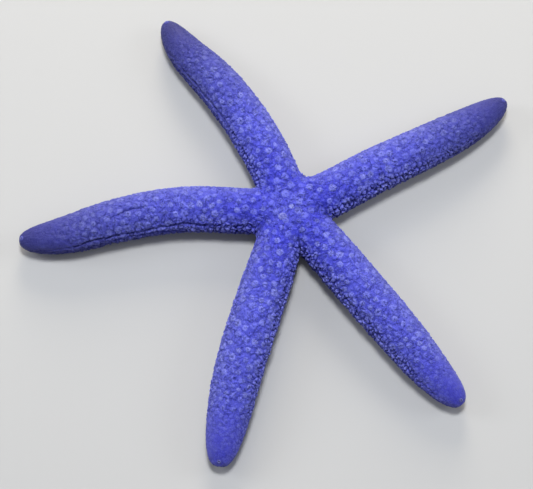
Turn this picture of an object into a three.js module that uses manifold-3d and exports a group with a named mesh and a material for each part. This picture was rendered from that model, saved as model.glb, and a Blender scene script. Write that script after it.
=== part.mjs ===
// A blue sea star, Linckia laevigata: a small disc and five long round arms, resting on its underside.
// Millimetres, +Z up. The origin is under the middle of the animal, at the level that it rests on.
// The arms are lettered a to e, clockwise from above, and arm a lies opposite the madreporite.
import * as THREE from "three";
import { mergeVertices } from "three/addons/utils/BufferGeometryUtils.js";
import Module from "manifold-3d";

const wasm = await Module();
wasm.setup();

// Each arm leaves the disc on its heading, in degrees from +X, and turns by one bend in each quarter.
// neck narrows the arm at its root, or swells it where it is negative; tip is low where the end is blunt.
const ARMS = {
  a: { heading: 22, length: 115.3, bends: [8, -4.5, 3.5, 11], half: 10.45, neck: -0.07, tip: 0.41 },
  b: { heading: -42, length: 116.9, bends: [-9.5, 1, -1.5, 7.5], half: 10.85, neck: 0.02, tip: 0.36 },
  c: { heading: -106, length: 120.6, bends: [-1.5, 0, 6, 1.5], half: 11.35, neck: 0.11, tip: 0.34 },
  d: { heading: 180, length: 123.7, bends: [-4, 14, 8, -18], half: 10.45, neck: 0, tip: 0.36 },
  e: { heading: 104, length: 112.7, bends: [12, 8.5, 10, -19.5], half: 10.75, neck: 0.02, tip: 0.43 },
};

// The outline along an arm: full for most of its length, then a long curve in to the tip.
const TAPER_START = 4.6; // the higher, the nearer the tip the taper begins
const NECK_REACH = 0.22; // the share of the arm that the neck fades over
const PATH_STEPS = 240; // steps that a bent centreline is added up in

// The cross section: a little lower than wide, round on top and flat where it rests.
const HEIGHT_TO_WIDTH = 0.87;
const SIDE_LEVEL = 0.47; // the level of the widest point, as a share of the height
const UNDER_DEPTH = 0.5; // how far the lower half would reach, before the floor flattens it
const UPPER_SQUARENESS = 2.15; // 2 is an ellipse
const LOWER_SQUARENESS = 2.5;
const GIRTH_SIDES = 20;
const DISC_HEIGHT = 18.6; // every arm is this high at the disc's middle
const DISC_FADE = 32; // and has its own height from here on

// The ends of the arms rise off the floor.
const TIP_RISE = 6.5;
const RISE_START = 0.15; // the share of the width that is gone where the rise begins
const RISE_CURVE = 1.4;

// The body is parted into the disc and three lengths of each arm.
const GAP = 0.3; // left between pieces that touch
const DISC_REACH = 20;
const BASE_END = 0.42;
const MIDDLE_END = 0.75;
const RINGS = { disc: 3, base: 3, middle: 4, tip: 10 };

// The low dome that fills the corners between the arms.
const DOME_RADIUS = 19;
const DOME_SIDES = 30;
const DOME_ROWS = 10;

// The groove that holds the tube feet, open below, and the mouth that the grooves meet in.
const GROOVE = { half: 2.3, endHalf: 0.9, depth: 4.6, endDepth: 1.8, below: 1.5, squareness: 3 };
const GROOVE_STOP = 3.6; // how far short of the arm's end it closes
const GROOVE_SIDES = 8;
const GROOVE_ROWS = 14;
const GROOVE_SHRINK_START = 0.7;
const MOUTH = { radius: 4.6, depth: 7.5, below: 1.5, sides: 14, rows: 6 };

// The sieve plate on the disc, off its middle and between arms c and d.
const MADREPORITE = { x: -2.9, y: -5.5, radius: 2, height: 1.7, sunk: 1.1, sides: 14, rows: 6 };

// The small plate on top of each arm's end, and the eye spot below it at the end of the groove.
const TERMINAL_PLATE = { fromEnd: 1.8, sunk: 0.5, along: 1.5, across: 1.3, up: 1.5, sides: 10, rows: 6 };
const EYE = { fromEnd: 3.5, radius: 0.75, sides: 8, rows: 6 };

const COLOURS = {
  body: { color: 0x4a4bb4, roughness: 0.6 },
  armTip: { color: 0x5a5cae, roughness: 0.6 },
  madreporite: { color: 0x7173c9, roughness: 0.7 },
  terminalPlate: { color: 0x6c6db4, roughness: 0.55 },
  eye: { color: 0xb4431f, roughness: 0.4 },
};

/** The sign of a value and its size raised to a power, as a superellipse needs. */
function signedPower(value, power) {
  return Math.sign(value) * Math.abs(value) ** power;
}

/** An arm's bent centreline, and its width and height at any distance from the disc's middle. */
class Arm {
  constructor(shape) {
    Object.assign(this, shape);
    const step = this.length / PATH_STEPS;
    this.points = [new THREE.Vector2(0, 0)];
    for (let i = 0; i < PATH_STEPS; i += 1) {
      const heading = this.headingAt((i + 0.5) * step);
      const stride = new THREE.Vector2(Math.cos(heading), Math.sin(heading)).multiplyScalar(step);
      this.points.push(this.points[i].clone().add(stride));
    }
  }

  /** The heading in radians at a distance along the arm. */
  headingAt(distance) {
    const quarter = (this.bends.length * distance) / this.length;
    let turned = this.heading;
    this.bends.forEach((bend, i) => {
      turned += bend * THREE.MathUtils.clamp(quarter - i, 0, 1);
    });
    return THREE.MathUtils.degToRad(turned);
  }

  /** The point of the centreline at a distance along the arm. */
  pointAt(distance) {
    const place = THREE.MathUtils.clamp(distance / this.length, 0, 1) * PATH_STEPS;
    const index = Math.min(Math.floor(place), PATH_STEPS - 1);
    return this.points[index].clone().lerp(this.points[index + 1], place - index);
  }

  /** The share of the full width that the taper leaves. */
  taperAt(distance) {
    const share = THREE.MathUtils.clamp(distance / this.length, 0, 1);
    return (1 - share ** TAPER_START) ** this.tip;
  }

  /** Half the arm's width. */
  halfWidthAt(distance) {
    const share = distance / this.length;
    return this.half * (1 - this.neck * Math.exp(-((share / NECK_REACH) ** 2))) * this.taperAt(distance);
  }

  /** The arm's height, from its underside to its top. */
  heightAt(distance) {
    const own = 2 * this.half * HEIGHT_TO_WIDTH;
    const shared = 1 - THREE.MathUtils.smoothstep(distance, 0, DISC_FADE);
    return THREE.MathUtils.lerp(own, DISC_HEIGHT, shared) * this.taperAt(distance);
  }

  /** How far the arm's underside is off the floor. */
  riseAt(distance) {
    const lost = (1 - this.taperAt(distance) - RISE_START) / (1 - RISE_START);
    return TIP_RISE * Math.max(0, lost) ** RISE_CURVE;
  }

  /** The point at a distance along the arm, an offset to its left and a level above the floor. */
  place(distance, side, level) {
    const heading = this.headingAt(distance);
    const point = this.pointAt(distance);
    return new THREE.Vector3(
      point.x - Math.sin(heading) * side,
      point.y + Math.cos(heading) * side,
      level,
    );
  }

  /** The point of the arm's surface at a distance along it and an angle round it, 0 at the left side. */
  surface(distance, angle) {
    const up = Math.sin(angle);
    const power = 2 / (up >= 0 ? UPPER_SQUARENESS : LOWER_SQUARENESS);
    const reach = up >= 0 ? 1 - SIDE_LEVEL : UNDER_DEPTH;
    const side = this.halfWidthAt(distance) * signedPower(Math.cos(angle), power);
    const level = Math.max(0, this.heightAt(distance) * (SIDE_LEVEL + reach * signedPower(up, power)));
    return this.place(distance, side, level + this.riseAt(distance));
  }

  /** The middle of the arm's section, level with its widest point. */
  core(distance) {
    return this.place(distance, 0, SIDE_LEVEL * this.heightAt(distance) + this.riseAt(distance));
  }

  /** The middle of the groove's mouth. */
  grooveCore(distance) {
    return this.place(distance, 0, this.riseAt(distance));
  }

  /** The point of the groove's surface at a distance along the arm and an angle round it. */
  groove(distance, angle) {
    const stop = this.length - GROOVE_STOP;
    const late = THREE.MathUtils.smoothstep(distance / stop, GROOVE_SHRINK_START, 1);
    const half = THREE.MathUtils.lerp(GROOVE.half, GROOVE.endHalf, late);
    const depth = THREE.MathUtils.lerp(GROOVE.depth, GROOVE.endDepth, late);
    const power = 2 / GROOVE.squareness;
    const side = half * signedPower(Math.cos(angle), power);
    const middle = (depth - GROOVE.below) / 2;
    const level = middle + ((depth + GROOVE.below) / 2) * signedPower(Math.sin(angle), power);
    return this.place(distance, side, level + this.riseAt(distance));
  }
}

/** A closed solid from a geometry whose shared corners are merged. */
function solidFrom(geometry) {
  geometry.deleteAttribute("normal");
  geometry.deleteAttribute("uv");
  const merged = mergeVertices(geometry);
  return new wasm.Manifold(
    new wasm.Mesh({
      numProp: 3,
      vertProperties: merged.attributes.position.array,
      triVerts: new Uint32Array(merged.index.array),
    }),
  );
}

/**
 * A solid swept through stations along an arm, with a flat face at each end that has a width.
 * It is a sphere's net of rows, drawn out: each pole becomes the middle of an end face.
 */
function sweep(stations, sides, pointAt, endPoint) {
  const rows = stations.length + 1;
  const geometry = new THREE.SphereGeometry(1, sides, rows);
  const positions = geometry.attributes.position;
  for (let row = 0; row <= rows; row += 1) {
    const station = stations[THREE.MathUtils.clamp(row - 1, 0, stations.length - 1)];
    for (let column = 0; column <= sides; column += 1) {
      const isPole = row === 0 || row === rows;
      const angle = (-2 * Math.PI * (column % sides)) / sides;
      const point = isPole ? endPoint(station) : pointAt(station, angle);
      positions.setXYZ(row * (sides + 1) + column, point.x, point.y, point.z);
    }
  }
  return solidFrom(geometry);
}

/** Distances from start to end, evenly spaced. */
function evenStations(start, end, count) {
  return Array.from({ length: count + 1 }, (_, i) => THREE.MathUtils.lerp(start, end, i / count));
}

/** Distances from start to the arm's very end, closer together towards the end. */
function tipStations(start, end, count) {
  return Array.from({ length: count }, (_, i) => {
    const share = Math.sin((Math.PI / 2) * (i / count));
    return THREE.MathUtils.lerp(start, end, share);
  });
}

/** A length of an arm through the given stations. */
function armLength(arm, stations) {
  return sweep(
    stations,
    GIRTH_SIDES,
    (distance, angle) => arm.surface(distance, angle),
    (distance) => arm.core(distance),
  );
}

/** The last length of an arm, which closes in a point at its very end. */
function armTip(arm, start) {
  const stations = tipStations(start, arm.length, RINGS.tip);
  const last = stations.at(-1);
  return sweep(
    stations,
    GIRTH_SIDES,
    (distance, angle) => arm.surface(distance, angle),
    (distance) => arm.core(distance === last ? arm.length : distance),
  );
}

/** The space of an arm's groove, from the mouth to just short of the arm's end. */
function armGroove(arm) {
  return sweep(
    evenStations(0, arm.length - GROOVE_STOP, GROOVE_ROWS),
    GROOVE_SIDES,
    (distance, angle) => arm.groove(distance, angle),
    (distance) => arm.grooveCore(distance),
  );
}

/** A rounded solid with the given half sizes, its middle at a point, turned to a heading. */
function ellipsoid({ along, across, up, sides, rows }, centre, heading = 0) {
  const geometry = new THREE.SphereGeometry(1, sides, rows);
  geometry.rotateX(Math.PI / 2);
  geometry.scale(along, across, up);
  geometry.rotateZ(heading);
  geometry.translate(centre.x, centre.y, centre.z);
  return solidFrom(geometry);
}

/** The low dome in the middle, as wide at each level as a section of an arm would be. */
function domeSolid() {
  const profile = [];
  for (let i = 0; i <= DOME_ROWS; i += 1) {
    const angle = THREE.MathUtils.lerp(-Math.PI / 2, Math.PI / 2, i / DOME_ROWS);
    const up = Math.sin(angle);
    const power = 2 / (up >= 0 ? UPPER_SQUARENESS : LOWER_SQUARENESS);
    const reach = up >= 0 ? 1 - SIDE_LEVEL : SIDE_LEVEL;
    const radius = i === 0 || i === DOME_ROWS ? 0 : DOME_RADIUS * Math.cos(angle) ** power;
    profile.push(new THREE.Vector2(radius, DISC_HEIGHT * (SIDE_LEVEL + reach * signedPower(up, power))));
  }
  const geometry = new THREE.LatheGeometry(profile, DOME_SIDES);
  geometry.rotateX(Math.PI / 2);
  return solidFrom(geometry);
}

/** The mouth's hollow, which reaches below the floor. */
function mouthSolid() {
  const { radius, depth, below, sides, rows } = MOUTH;
  const size = { along: radius, across: radius, up: (depth + below) / 2, sides, rows };
  return ellipsoid(size, new THREE.Vector3(0, 0, (depth - below) / 2));
}

/** A named mesh from a solid. */
function meshFrom(name, solid, finish) {
  const { vertProperties, triVerts } = solid.getMesh();
  const geometry = new THREE.BufferGeometry();
  geometry.setAttribute("position", new THREE.BufferAttribute(new Float32Array(vertProperties), 3));
  geometry.setIndex(new THREE.BufferAttribute(new Uint32Array(triVerts), 1));
  geometry.computeVertexNormals();
  const mesh = new THREE.Mesh(geometry, new THREE.MeshStandardMaterial({ metalness: 0, ...finish }));
  mesh.name = name;
  return mesh;
}

/** The three lengths of one arm, its terminal plate and its eye spot. */
function armMeshes(letter, arm, groove) {
  const baseEnd = arm.length * BASE_END;
  const middleEnd = arm.length * MIDDLE_END;
  const base = armLength(arm, evenStations(DISC_REACH + GAP, baseEnd, RINGS.base));
  const middle = armLength(arm, evenStations(baseEnd + GAP, middleEnd, RINGS.middle));
  const tip = armTip(arm, middleEnd + GAP);

  const { fromEnd, sunk, along, across, up } = TERMINAL_PLATE;
  const plateCentre = arm.surface(arm.length - fromEnd, Math.PI / 2);
  plateCentre.z -= sunk;
  const heading = arm.headingAt(arm.length);
  const plateSpace = ellipsoid(TERMINAL_PLATE, plateCentre, heading);
  const looser = { ...TERMINAL_PLATE, along: along + GAP, across: across + GAP, up: up + GAP };
  const plateSocket = ellipsoid(looser, plateCentre, heading);

  const { radius, sides, rows } = EYE;
  const eyeDistance = arm.length - EYE.fromEnd;
  const eyeCentre = arm.place(eyeDistance, 0, arm.riseAt(eyeDistance) + GROOVE.endDepth);
  const eye = ellipsoid({ along: radius, across: radius, up: radius, sides, rows }, eyeCentre, heading);
  const wide = radius + GAP;
  const eyeSocket = ellipsoid({ along: wide, across: wide, up: wide, sides, rows }, eyeCentre, heading);

  const openTip = tip.subtract(plateSocket).subtract(groove).subtract(eyeSocket);
  return [
    meshFrom(`arm_${letter}_base`, base.subtract(groove), COLOURS.body),
    meshFrom(`arm_${letter}_middle`, middle.subtract(groove), COLOURS.body),
    meshFrom(`arm_${letter}_tip`, openTip, COLOURS.armTip),
    meshFrom(`arm_${letter}_terminal_plate`, tip.intersect(plateSpace), COLOURS.terminalPlate),
    meshFrom(`arm_${letter}_eye`, eye, COLOURS.eye),
  ];
}

/** The disc, with the roots of the arms, and the madreporite let into it. */
function discMeshes(arms, grooves) {
  let disc = domeSolid();
  for (const arm of arms) disc = disc.add(armLength(arm, evenStations(0, DISC_REACH, RINGS.disc)));
  for (const groove of grooves) disc = disc.subtract(groove);
  disc = disc.subtract(mouthSolid());

  const { x, y, radius, height, sunk, sides, rows } = MADREPORITE;
  const centre = new THREE.Vector3(x, y, DISC_HEIGHT + height / 2 - sunk);
  const sieve = ellipsoid({ along: radius, across: radius, up: height / 2, sides, rows }, centre);
  const wide = radius + GAP;
  const socketSize = { along: wide, across: wide, up: height / 2 + GAP, sides, rows };
  return [
    meshFrom("disc", disc.subtract(ellipsoid(socketSize, centre)), COLOURS.body),
    meshFrom("madreporite", sieve, COLOURS.madreporite),
  ];
}

const arms = Object.fromEntries(Object.entries(ARMS).map(([letter, shape]) => [letter, new Arm(shape)]));
const grooves = Object.fromEntries(Object.entries(arms).map(([letter, arm]) => [letter, armGroove(arm)]));

const group = new THREE.Group();
group.name = "blue_sea_star";
group.add(...discMeshes(Object.values(arms), Object.values(grooves)));
for (const [letter, arm] of Object.entries(arms)) group.add(...armMeshes(letter, arm, grooves[letter]));

const box = new THREE.Box3().setFromObject(group);
const middle = box.getCenter(new THREE.Vector3());
group.position.set(-middle.x, -middle.y, -box.min.z);

export default group;
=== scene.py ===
"""A blue sea star, Linckia laevigata, at life size, at rest on a plain pale floor.

Lengths in the shapes are millimetres, measured from the middle of the disc with +Z up. The finished
meshes are in metres.
"""

import logging
import math
import random
from collections.abc import Callable, Iterable
from dataclasses import dataclass, field
from enum import Enum
from functools import partial

import bmesh
import bpy
import numpy as np
from mathutils import Matrix, Vector, noise
from mathutils.kdtree import KDTree


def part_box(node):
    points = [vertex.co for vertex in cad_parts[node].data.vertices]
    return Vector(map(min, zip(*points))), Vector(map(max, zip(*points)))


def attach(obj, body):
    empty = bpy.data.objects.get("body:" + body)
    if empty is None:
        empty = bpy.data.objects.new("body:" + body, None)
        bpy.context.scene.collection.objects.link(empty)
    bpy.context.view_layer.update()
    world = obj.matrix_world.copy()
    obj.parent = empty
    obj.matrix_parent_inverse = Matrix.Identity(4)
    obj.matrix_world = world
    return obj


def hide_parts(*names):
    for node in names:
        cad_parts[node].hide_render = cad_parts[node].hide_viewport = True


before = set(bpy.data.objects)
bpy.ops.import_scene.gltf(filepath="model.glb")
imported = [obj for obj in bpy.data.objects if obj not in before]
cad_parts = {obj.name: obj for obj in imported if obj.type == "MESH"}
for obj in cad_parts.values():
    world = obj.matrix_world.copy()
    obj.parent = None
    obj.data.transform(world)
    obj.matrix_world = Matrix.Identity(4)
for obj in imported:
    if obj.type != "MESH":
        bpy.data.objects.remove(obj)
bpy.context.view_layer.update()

log = logging.getLogger("sea_star")

MM = 0.001
OWN = "own_place"
NEIGHBOURS = [(x, y, z) for x in (-1, 0, 1) for y in (-1, 0, 1) for z in (-1, 0, 1)]


# ---------------------------------------------------------------- shapes


class Flank(Enum):
    """The two sides of an arm, seen from the disc towards the tip."""

    LEFT = 1
    RIGHT = -1


@dataclass(frozen=True)
class Section:
    """An arm's cross section: a little lower than wide, round on top and flat where it rests."""

    height_to_width: float = 0.87
    side_level: float = 0.47
    under_depth: float = 0.5
    upper_squareness: float = 2.15
    lower_squareness: float = 2.5
    disc_height: float = 18.6
    disc_fade: float = 32.0


@dataclass(frozen=True)
class Tip:
    """How an arm narrows and rises towards its end."""

    taper_start: float = 4.6
    neck_reach: float = 0.22
    rise: float = 6.5
    rise_start: float = 0.15
    rise_curve: float = 1.4
    end_reach: float = 12.0


@dataclass(frozen=True)
class Groove:
    """The groove under an arm that holds the tube feet."""

    half: float = 2.3
    end_half: float = 0.9
    depth: float = 4.6
    end_depth: float = 1.8
    below: float = 1.5
    squareness: float = 3.0
    stop: float = 3.6
    shrink_start: float = 0.7


SECTION = Section()
TIP = Tip()
GROOVE = Groove()


def smoothstep(value: float, low: float, high: float) -> float:
    """A smooth ramp from 0 at low to 1 at high."""
    share = min(max((value - low) / (high - low), 0.0), 1.0)
    return share * share * (3 - 2 * share)


def lerp(start: float, end: float, share: float) -> float:
    """The value at a share of the way from start to end."""
    return start + (end - start) * share


def signed_power(value: float, power: float) -> float:
    """A value's sign, with its size raised to a power."""
    return math.copysign(abs(value) ** power, value)


@dataclass(frozen=True)
class Crease:
    """A long crease in the skin.

    Its ends are shares of the arm, and its angle is in degrees up from the arm's left.
    """

    start: float
    end: float
    angle: float
    strength: float = 1.0


@dataclass
class Arm:
    """One arm: a bent centreline, and its width and height at any distance from the disc's middle.

    Bends are in degrees, one for each part of the length. Half is half the full width, neck the share
    of it that is lost beside the disc, and tip the power of the taper. Grey is how far the end fades.
    Rough is how coarse the left and the right flank are, seen from the disc.
    """

    letter: str
    heading: float
    length: float
    bends: tuple[float, ...]
    half: float
    neck: float
    tip: float
    grey: float
    rough: tuple[float, float]
    creases: tuple[Crease, ...] = ()
    steps: int = 240
    points: list[Vector] = field(default_factory=list)

    def __post_init__(self) -> None:
        """Adds up the centreline."""
        step = self.length / self.steps
        self.points.append(Vector((0.0, 0.0)))
        for index in range(self.steps):
            heading = self.heading_at((index + 0.5) * step)
            stride = Vector((math.cos(heading), math.sin(heading))) * step
            self.points.append(self.points[-1] + stride)

    def heading_at(self, distance: float) -> float:
        """The heading in radians at a distance along the arm."""
        part = len(self.bends) * distance / self.length
        turns = (bend * min(max(part - index, 0.0), 1.0) for index, bend in enumerate(self.bends))
        return math.radians(self.heading + sum(turns))

    def point_at(self, distance: float) -> Vector:
        """The point of the centreline at a distance along the arm."""
        place = min(max(distance / self.length, 0.0), 1.0) * self.steps
        index = min(int(place), self.steps - 1)
        return self.points[index].lerp(self.points[index + 1], place - index)

    def taper_at(self, distance: float) -> float:
        """The share of the full width that the taper leaves."""
        share = min(max(distance / self.length, 0.0), 1.0)
        return (1 - share**TIP.taper_start) ** self.tip

    def half_width_at(self, distance: float) -> float:
        """Half the arm's width."""
        share = distance / self.length
        neck = self.neck * math.exp(-((share / TIP.neck_reach) ** 2))
        return self.half * (1 - neck) * self.taper_at(distance)

    def height_at(self, distance: float) -> float:
        """The arm's height, from its underside to its top."""
        own = 2 * self.half * SECTION.height_to_width
        shared = 1 - smoothstep(distance, 0.0, SECTION.disc_fade)
        return lerp(own, SECTION.disc_height, shared) * self.taper_at(distance)

    def rise_at(self, distance: float) -> float:
        """How far the arm's underside is off the floor."""
        lost = (1 - self.taper_at(distance) - TIP.rise_start) / (1 - TIP.rise_start)
        return TIP.rise * max(0.0, lost) ** TIP.rise_curve

    def place(self, distance: float, side: float, level: float) -> Vector:
        """The point at a distance along the arm, an offset to its left and a level above the floor."""
        heading = self.heading_at(distance)
        point = self.point_at(distance)
        x, y = point.x - math.sin(heading) * side, point.y + math.cos(heading) * side
        return Vector((x, y, level))

    def surface(self, distance: float, angle: float, inset: float = 0.0) -> Vector:
        """A point of the arm's surface.

        Args:
            distance: How far along the arm, in millimetres.
            angle: The angle round the arm, 0 at its left side and a quarter turn on top.
            inset: How far inside the full outline the point lies.

        Returns:
            The point, in millimetres.
        """
        up = math.sin(angle)
        power = 2 / (SECTION.upper_squareness if up >= 0 else SECTION.lower_squareness)
        reach = 1 - SECTION.side_level if up >= 0 else SECTION.under_depth
        half = max(self.half_width_at(distance) - inset, 0.0)
        height = self.height_at(distance)
        side = half * signed_power(math.cos(angle), power)
        level = height * SECTION.side_level
        level += max(height * reach - inset, 0.0) * signed_power(up, power)
        back = inset * smoothstep(distance, self.length - TIP.end_reach, self.length)
        return self.place(distance - back, side, max(inset, level) + self.rise_at(distance))

    def groove_size(self, distance: float) -> tuple[float, float]:
        """Half the width and the depth of the groove at a distance along the arm."""
        late = smoothstep(distance / (self.length - GROOVE.stop), GROOVE.shrink_start, 1.0)
        return lerp(GROOVE.half, GROOVE.end_half, late), lerp(GROOVE.depth, GROOVE.end_depth, late)

    def groove(self, distance: float, angle: float) -> Vector:
        """The point of the groove's surface at a distance along the arm and an angle round it."""
        half, depth = self.groove_size(distance)
        power = 2 / GROOVE.squareness
        side = half * signed_power(math.cos(angle), power)
        level = (depth - GROOVE.below) / 2
        level += (depth + GROOVE.below) / 2 * signed_power(math.sin(angle), power)
        return self.place(distance, side, level + self.rise_at(distance))


ARMS = (
    Arm(
        letter="a", heading=22, length=115.3, bends=(8, -4.5, 3.5, 11),
        half=10.45, neck=-0.07, tip=0.41, grey=1.0, rough=(0.2, 1.0),
    ),
    Arm(
        letter="b", heading=-42, length=116.9, bends=(-9.5, 1, -1.5, 7.5),
        half=10.85, neck=0.02, tip=0.36, grey=0.3, rough=(0.2, 1.0),
    ),
    Arm(
        letter="c", heading=-106, length=120.6, bends=(-1.5, 0, 6, 1.5),
        half=11.35, neck=0.11, tip=0.34, grey=0.3, rough=(0.85, 0.45),
    ),
    Arm(
        letter="d", heading=180, length=123.7, bends=(-4, 14, 8, -18),
        half=10.45, neck=0.0, tip=0.36, grey=1.0, rough=(0.9, 0.25),
        creases=(Crease(0.26, 0.96, 28), Crease(0.38, 0.97, 9), Crease(0.49, 0.68, 90, 0.3)),
    ),
    Arm(
        letter="e", heading=104, length=112.7, bends=(12, 8.5, 10, -19.5),
        half=10.75, neck=0.02, tip=0.43, grey=1.1, rough=(0.85, 0.25),
        creases=(Crease(0.46, 0.8, 28, 0.8), Crease(0.4, 0.86, 9)),
    ),
)
MADREPORITE_PLACE = Vector((-2.9, -5.5))


def disc_middle() -> Vector:
    """The disc's middle in the frame, in metres, from the madreporite's known place beside it."""
    low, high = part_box("madreporite")
    middle = ((low + high) / 2).xy - MADREPORITE_PLACE * MM
    return Vector((middle.x, middle.y, 0.0))


# ---------------------------------------------------------------- mesh helpers


def sweep(bm: bmesh.types.BMesh, stations: list[float], sides: int, place: Callable) -> None:
    """Adds a closed tube to a bmesh: a ring, extruded from station to station.

    Args:
        bm: The bmesh that takes the tube.
        stations: Distances along the arm, in order.
        sides: How many corners the ring has.
        place: Gives the point for a distance and an angle.
    """
    turn = bm.verts.layers.float.get("turn") or bm.verts.layers.float.new("turn")
    along = bm.verts.layers.float.get("along") or bm.verts.layers.float.new("along")
    known = set(bm.verts)
    ring = bmesh.ops.create_circle(bm, cap_ends=True, segments=sides, radius=1.0)["verts"]
    for vert in ring:
        vert[turn] = math.atan2(vert.co.y, vert.co.x)
        vert[along] = stations[0]
    edges = list({edge for vert in ring for edge in vert.link_edges})
    for station in stations[1:]:
        made = bmesh.ops.extrude_edge_only(bm, edges=edges)["geom"]
        verts = {item for item in made if isinstance(item, bmesh.types.BMVert)}
        made = [item for item in made if isinstance(item, bmesh.types.BMEdge)]
        edges = [edge for edge in made if set(edge.verts) <= verts]
        for vert in verts:
            vert[along] = station
    bmesh.ops.contextual_create(bm, geom=edges)
    for vert in bm.verts:
        if vert not in known:
            vert.co = place(vert[along], vert[turn])


def mesh_object(name: str, bm: bmesh.types.BMesh) -> bpy.types.Object:
    """Makes an object of a bmesh, links it to the scene and frees the bmesh.

    Args:
        name: The object's name.
        bm: The finished bmesh.

    Returns:
        The new object.
    """
    mesh = bpy.data.meshes.new(name)
    bm.to_mesh(mesh)
    bm.free()
    made = bpy.data.objects.new(name, mesh)
    bpy.context.scene.collection.objects.link(made)
    return made


def frame_matrix() -> Matrix:
    """Takes millimetres from the disc's middle to the frame's metres."""
    return Matrix.Translation(disc_middle()) @ Matrix.Scale(MM, 4)


def keep_own_place(bm: bmesh.types.BMesh) -> None:
    """Stores each vertex's place in its own small part, for the finish to read."""
    layer = bm.verts.layers.float_vector.new(OWN)
    for vert in bm.verts:
        vert[layer] = vert.co


def copies(template: bmesh.types.BMesh, places: list[Matrix]) -> bmesh.types.BMesh:
    """Joins copies of a small part into one bmesh, and frees the part.

    Args:
        template: The part.
        places: Where each copy goes, and how it is turned and scaled.

    Returns:
        The joined bmesh.
    """
    joined = bmesh.new()
    joined.verts.layers.float_vector.new(OWN)
    mesh = bpy.data.meshes.new("copy")
    for place in places:
        copy = template.copy()
        bmesh.ops.transform(copy, matrix=place, verts=copy.verts)
        copy.to_mesh(mesh)
        joined.from_mesh(mesh)
        copy.free()
    bpy.data.meshes.remove(mesh)
    template.free()
    return joined


def turned_profile(profile: list[tuple[float, float]], sides: int) -> bmesh.types.BMesh:
    """Spins a profile of radii and heights, which starts and ends on the axis, into a closed solid."""
    bm = bmesh.new()
    verts = [bm.verts.new((radius, 0.0, height)) for radius, height in profile]
    edges = [bm.edges.new(pair) for pair in zip(verts, verts[1:])]
    bmesh.ops.spin(
        bm, geom=verts + edges, cent=(0, 0, 0), axis=(0, 0, 1), dvec=(0, 0, 0),
        angle=2 * math.pi, steps=sides, use_merge=True, use_duplicate=False,
    )
    bmesh.ops.remove_doubles(bm, verts=bm.verts, dist=1e-5)
    bmesh.ops.recalc_face_normals(bm, faces=bm.faces)
    return bm


def settle(
    name: str, bm: bmesh.types.BMesh, material: bpy.types.Material, slot: str = "", *nodes: str
) -> None:
    """Makes a finished piece of a bmesh in millimetres.

    Args:
        name: The piece's name.
        bm: The bmesh, which is freed.
        material: The piece's finish.
        slot: Not used.
        nodes: The nodes that the piece stands for.
    """
    bmesh.ops.transform(bm, matrix=frame_matrix(), verts=bm.verts)
    for face in bm.faces:
        face.smooth = True
    piece = mesh_object(name, bm)
    piece.data.materials.append(material)
    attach(piece, "root")
    if nodes:
        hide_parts(*nodes)
    log.info("%s: %d faces", name, len(piece.data.polygons))


def modify(piece: bpy.types.Object, kind: str, **settings: object) -> None:
    """Gives a piece a modifier, and replaces its mesh by the one that the modifier gives.

    Args:
        piece: The object.
        kind: The kind of modifier.
        settings: The modifier's own settings.
    """
    modifier = piece.modifiers.new(kind.lower(), kind)
    for name, value in settings.items():
        setattr(modifier, name, value)
    evaluated = piece.evaluated_get(bpy.context.evaluated_depsgraph_get())
    mesh = bpy.data.meshes.new_from_object(evaluated)
    old = piece.data
    piece.modifiers.clear()
    piece.data = mesh
    bpy.data.meshes.remove(old)


def read_vectors(mesh: bpy.types.Mesh, name: str = "position") -> np.ndarray:
    """A vector attribute of a mesh's vertices, one row each. Without a name, their places."""
    values = np.empty(len(mesh.vertices) * 3, np.float32)
    mesh.attributes[name].data.foreach_get("vector", values)
    return values.reshape(-1, 3).astype(float)


def write_vectors(mesh: bpy.types.Mesh, name: str, values: np.ndarray) -> None:
    """Stores a vector on each vertex of a mesh, under a name that nodes read."""
    layer = mesh.attributes.new(name, "FLOAT_VECTOR", "POINT")
    layer.data.foreach_set("vector", values.astype(np.float32).ravel())


def remove(piece: bpy.types.Object) -> None:
    """Deletes a helper object and its mesh."""
    mesh = piece.data
    bpy.data.objects.remove(piece)
    bpy.data.meshes.remove(mesh)


# ---------------------------------------------------------------- node helpers


@dataclass(frozen=True)
class Band:
    """A smooth ramp: the range of the number that goes in, and what comes out at its ends."""

    low: float
    high: float
    start: float = 0.0
    end: float = 1.0


@dataclass(frozen=True)
class Cloud:
    """Soft noise: its scale and detail, and the band that is taken of it."""

    scale: float
    detail: float
    band: Band


@dataclass(frozen=True)
class Wobble:
    """Noise that shifts a place: its scale and detail, and its reach in millimetres."""

    scale: float
    detail: float
    reach: float


@dataclass(frozen=True, eq=False)
class Value:
    """The result of a node. Arithmetic with it adds Math nodes."""

    wires: "Wiring"
    socket: bpy.types.NodeSocket

    def __add__(self, other: object) -> "Value":
        """The sum of this number and another."""
        return self.wires.math("ADD", self, other)

    def __mul__(self, other: object) -> "Value":
        """The product of this number and another."""
        return self.wires.math("MULTIPLY", self, other)

    def __sub__(self, other: object) -> "Value":
        """This number less another."""
        return self.wires.math("SUBTRACT", self, other)

    def __rsub__(self, other: float) -> "Value":
        """A plain number less this one."""
        return self.wires.math("SUBTRACT", other, self)

    def __abs__(self) -> "Value":
        """This number without its sign."""
        return self.wires.math("ABSOLUTE", self)

    def most(self, other: object) -> "Value":
        """The larger of this number and another."""
        return self.wires.math("MAXIMUM", self, other)

    def ramp(self, band: Band) -> "Value":
        """This number through a smooth ramp."""
        made = self.wires.node("ShaderNodeMapRange", interpolation_type="SMOOTHSTEP")
        self.wires.fill(made.inputs, self, band.low, band.high, band.start, band.end)
        return Value(self.wires, made.outputs["Result"])


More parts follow.
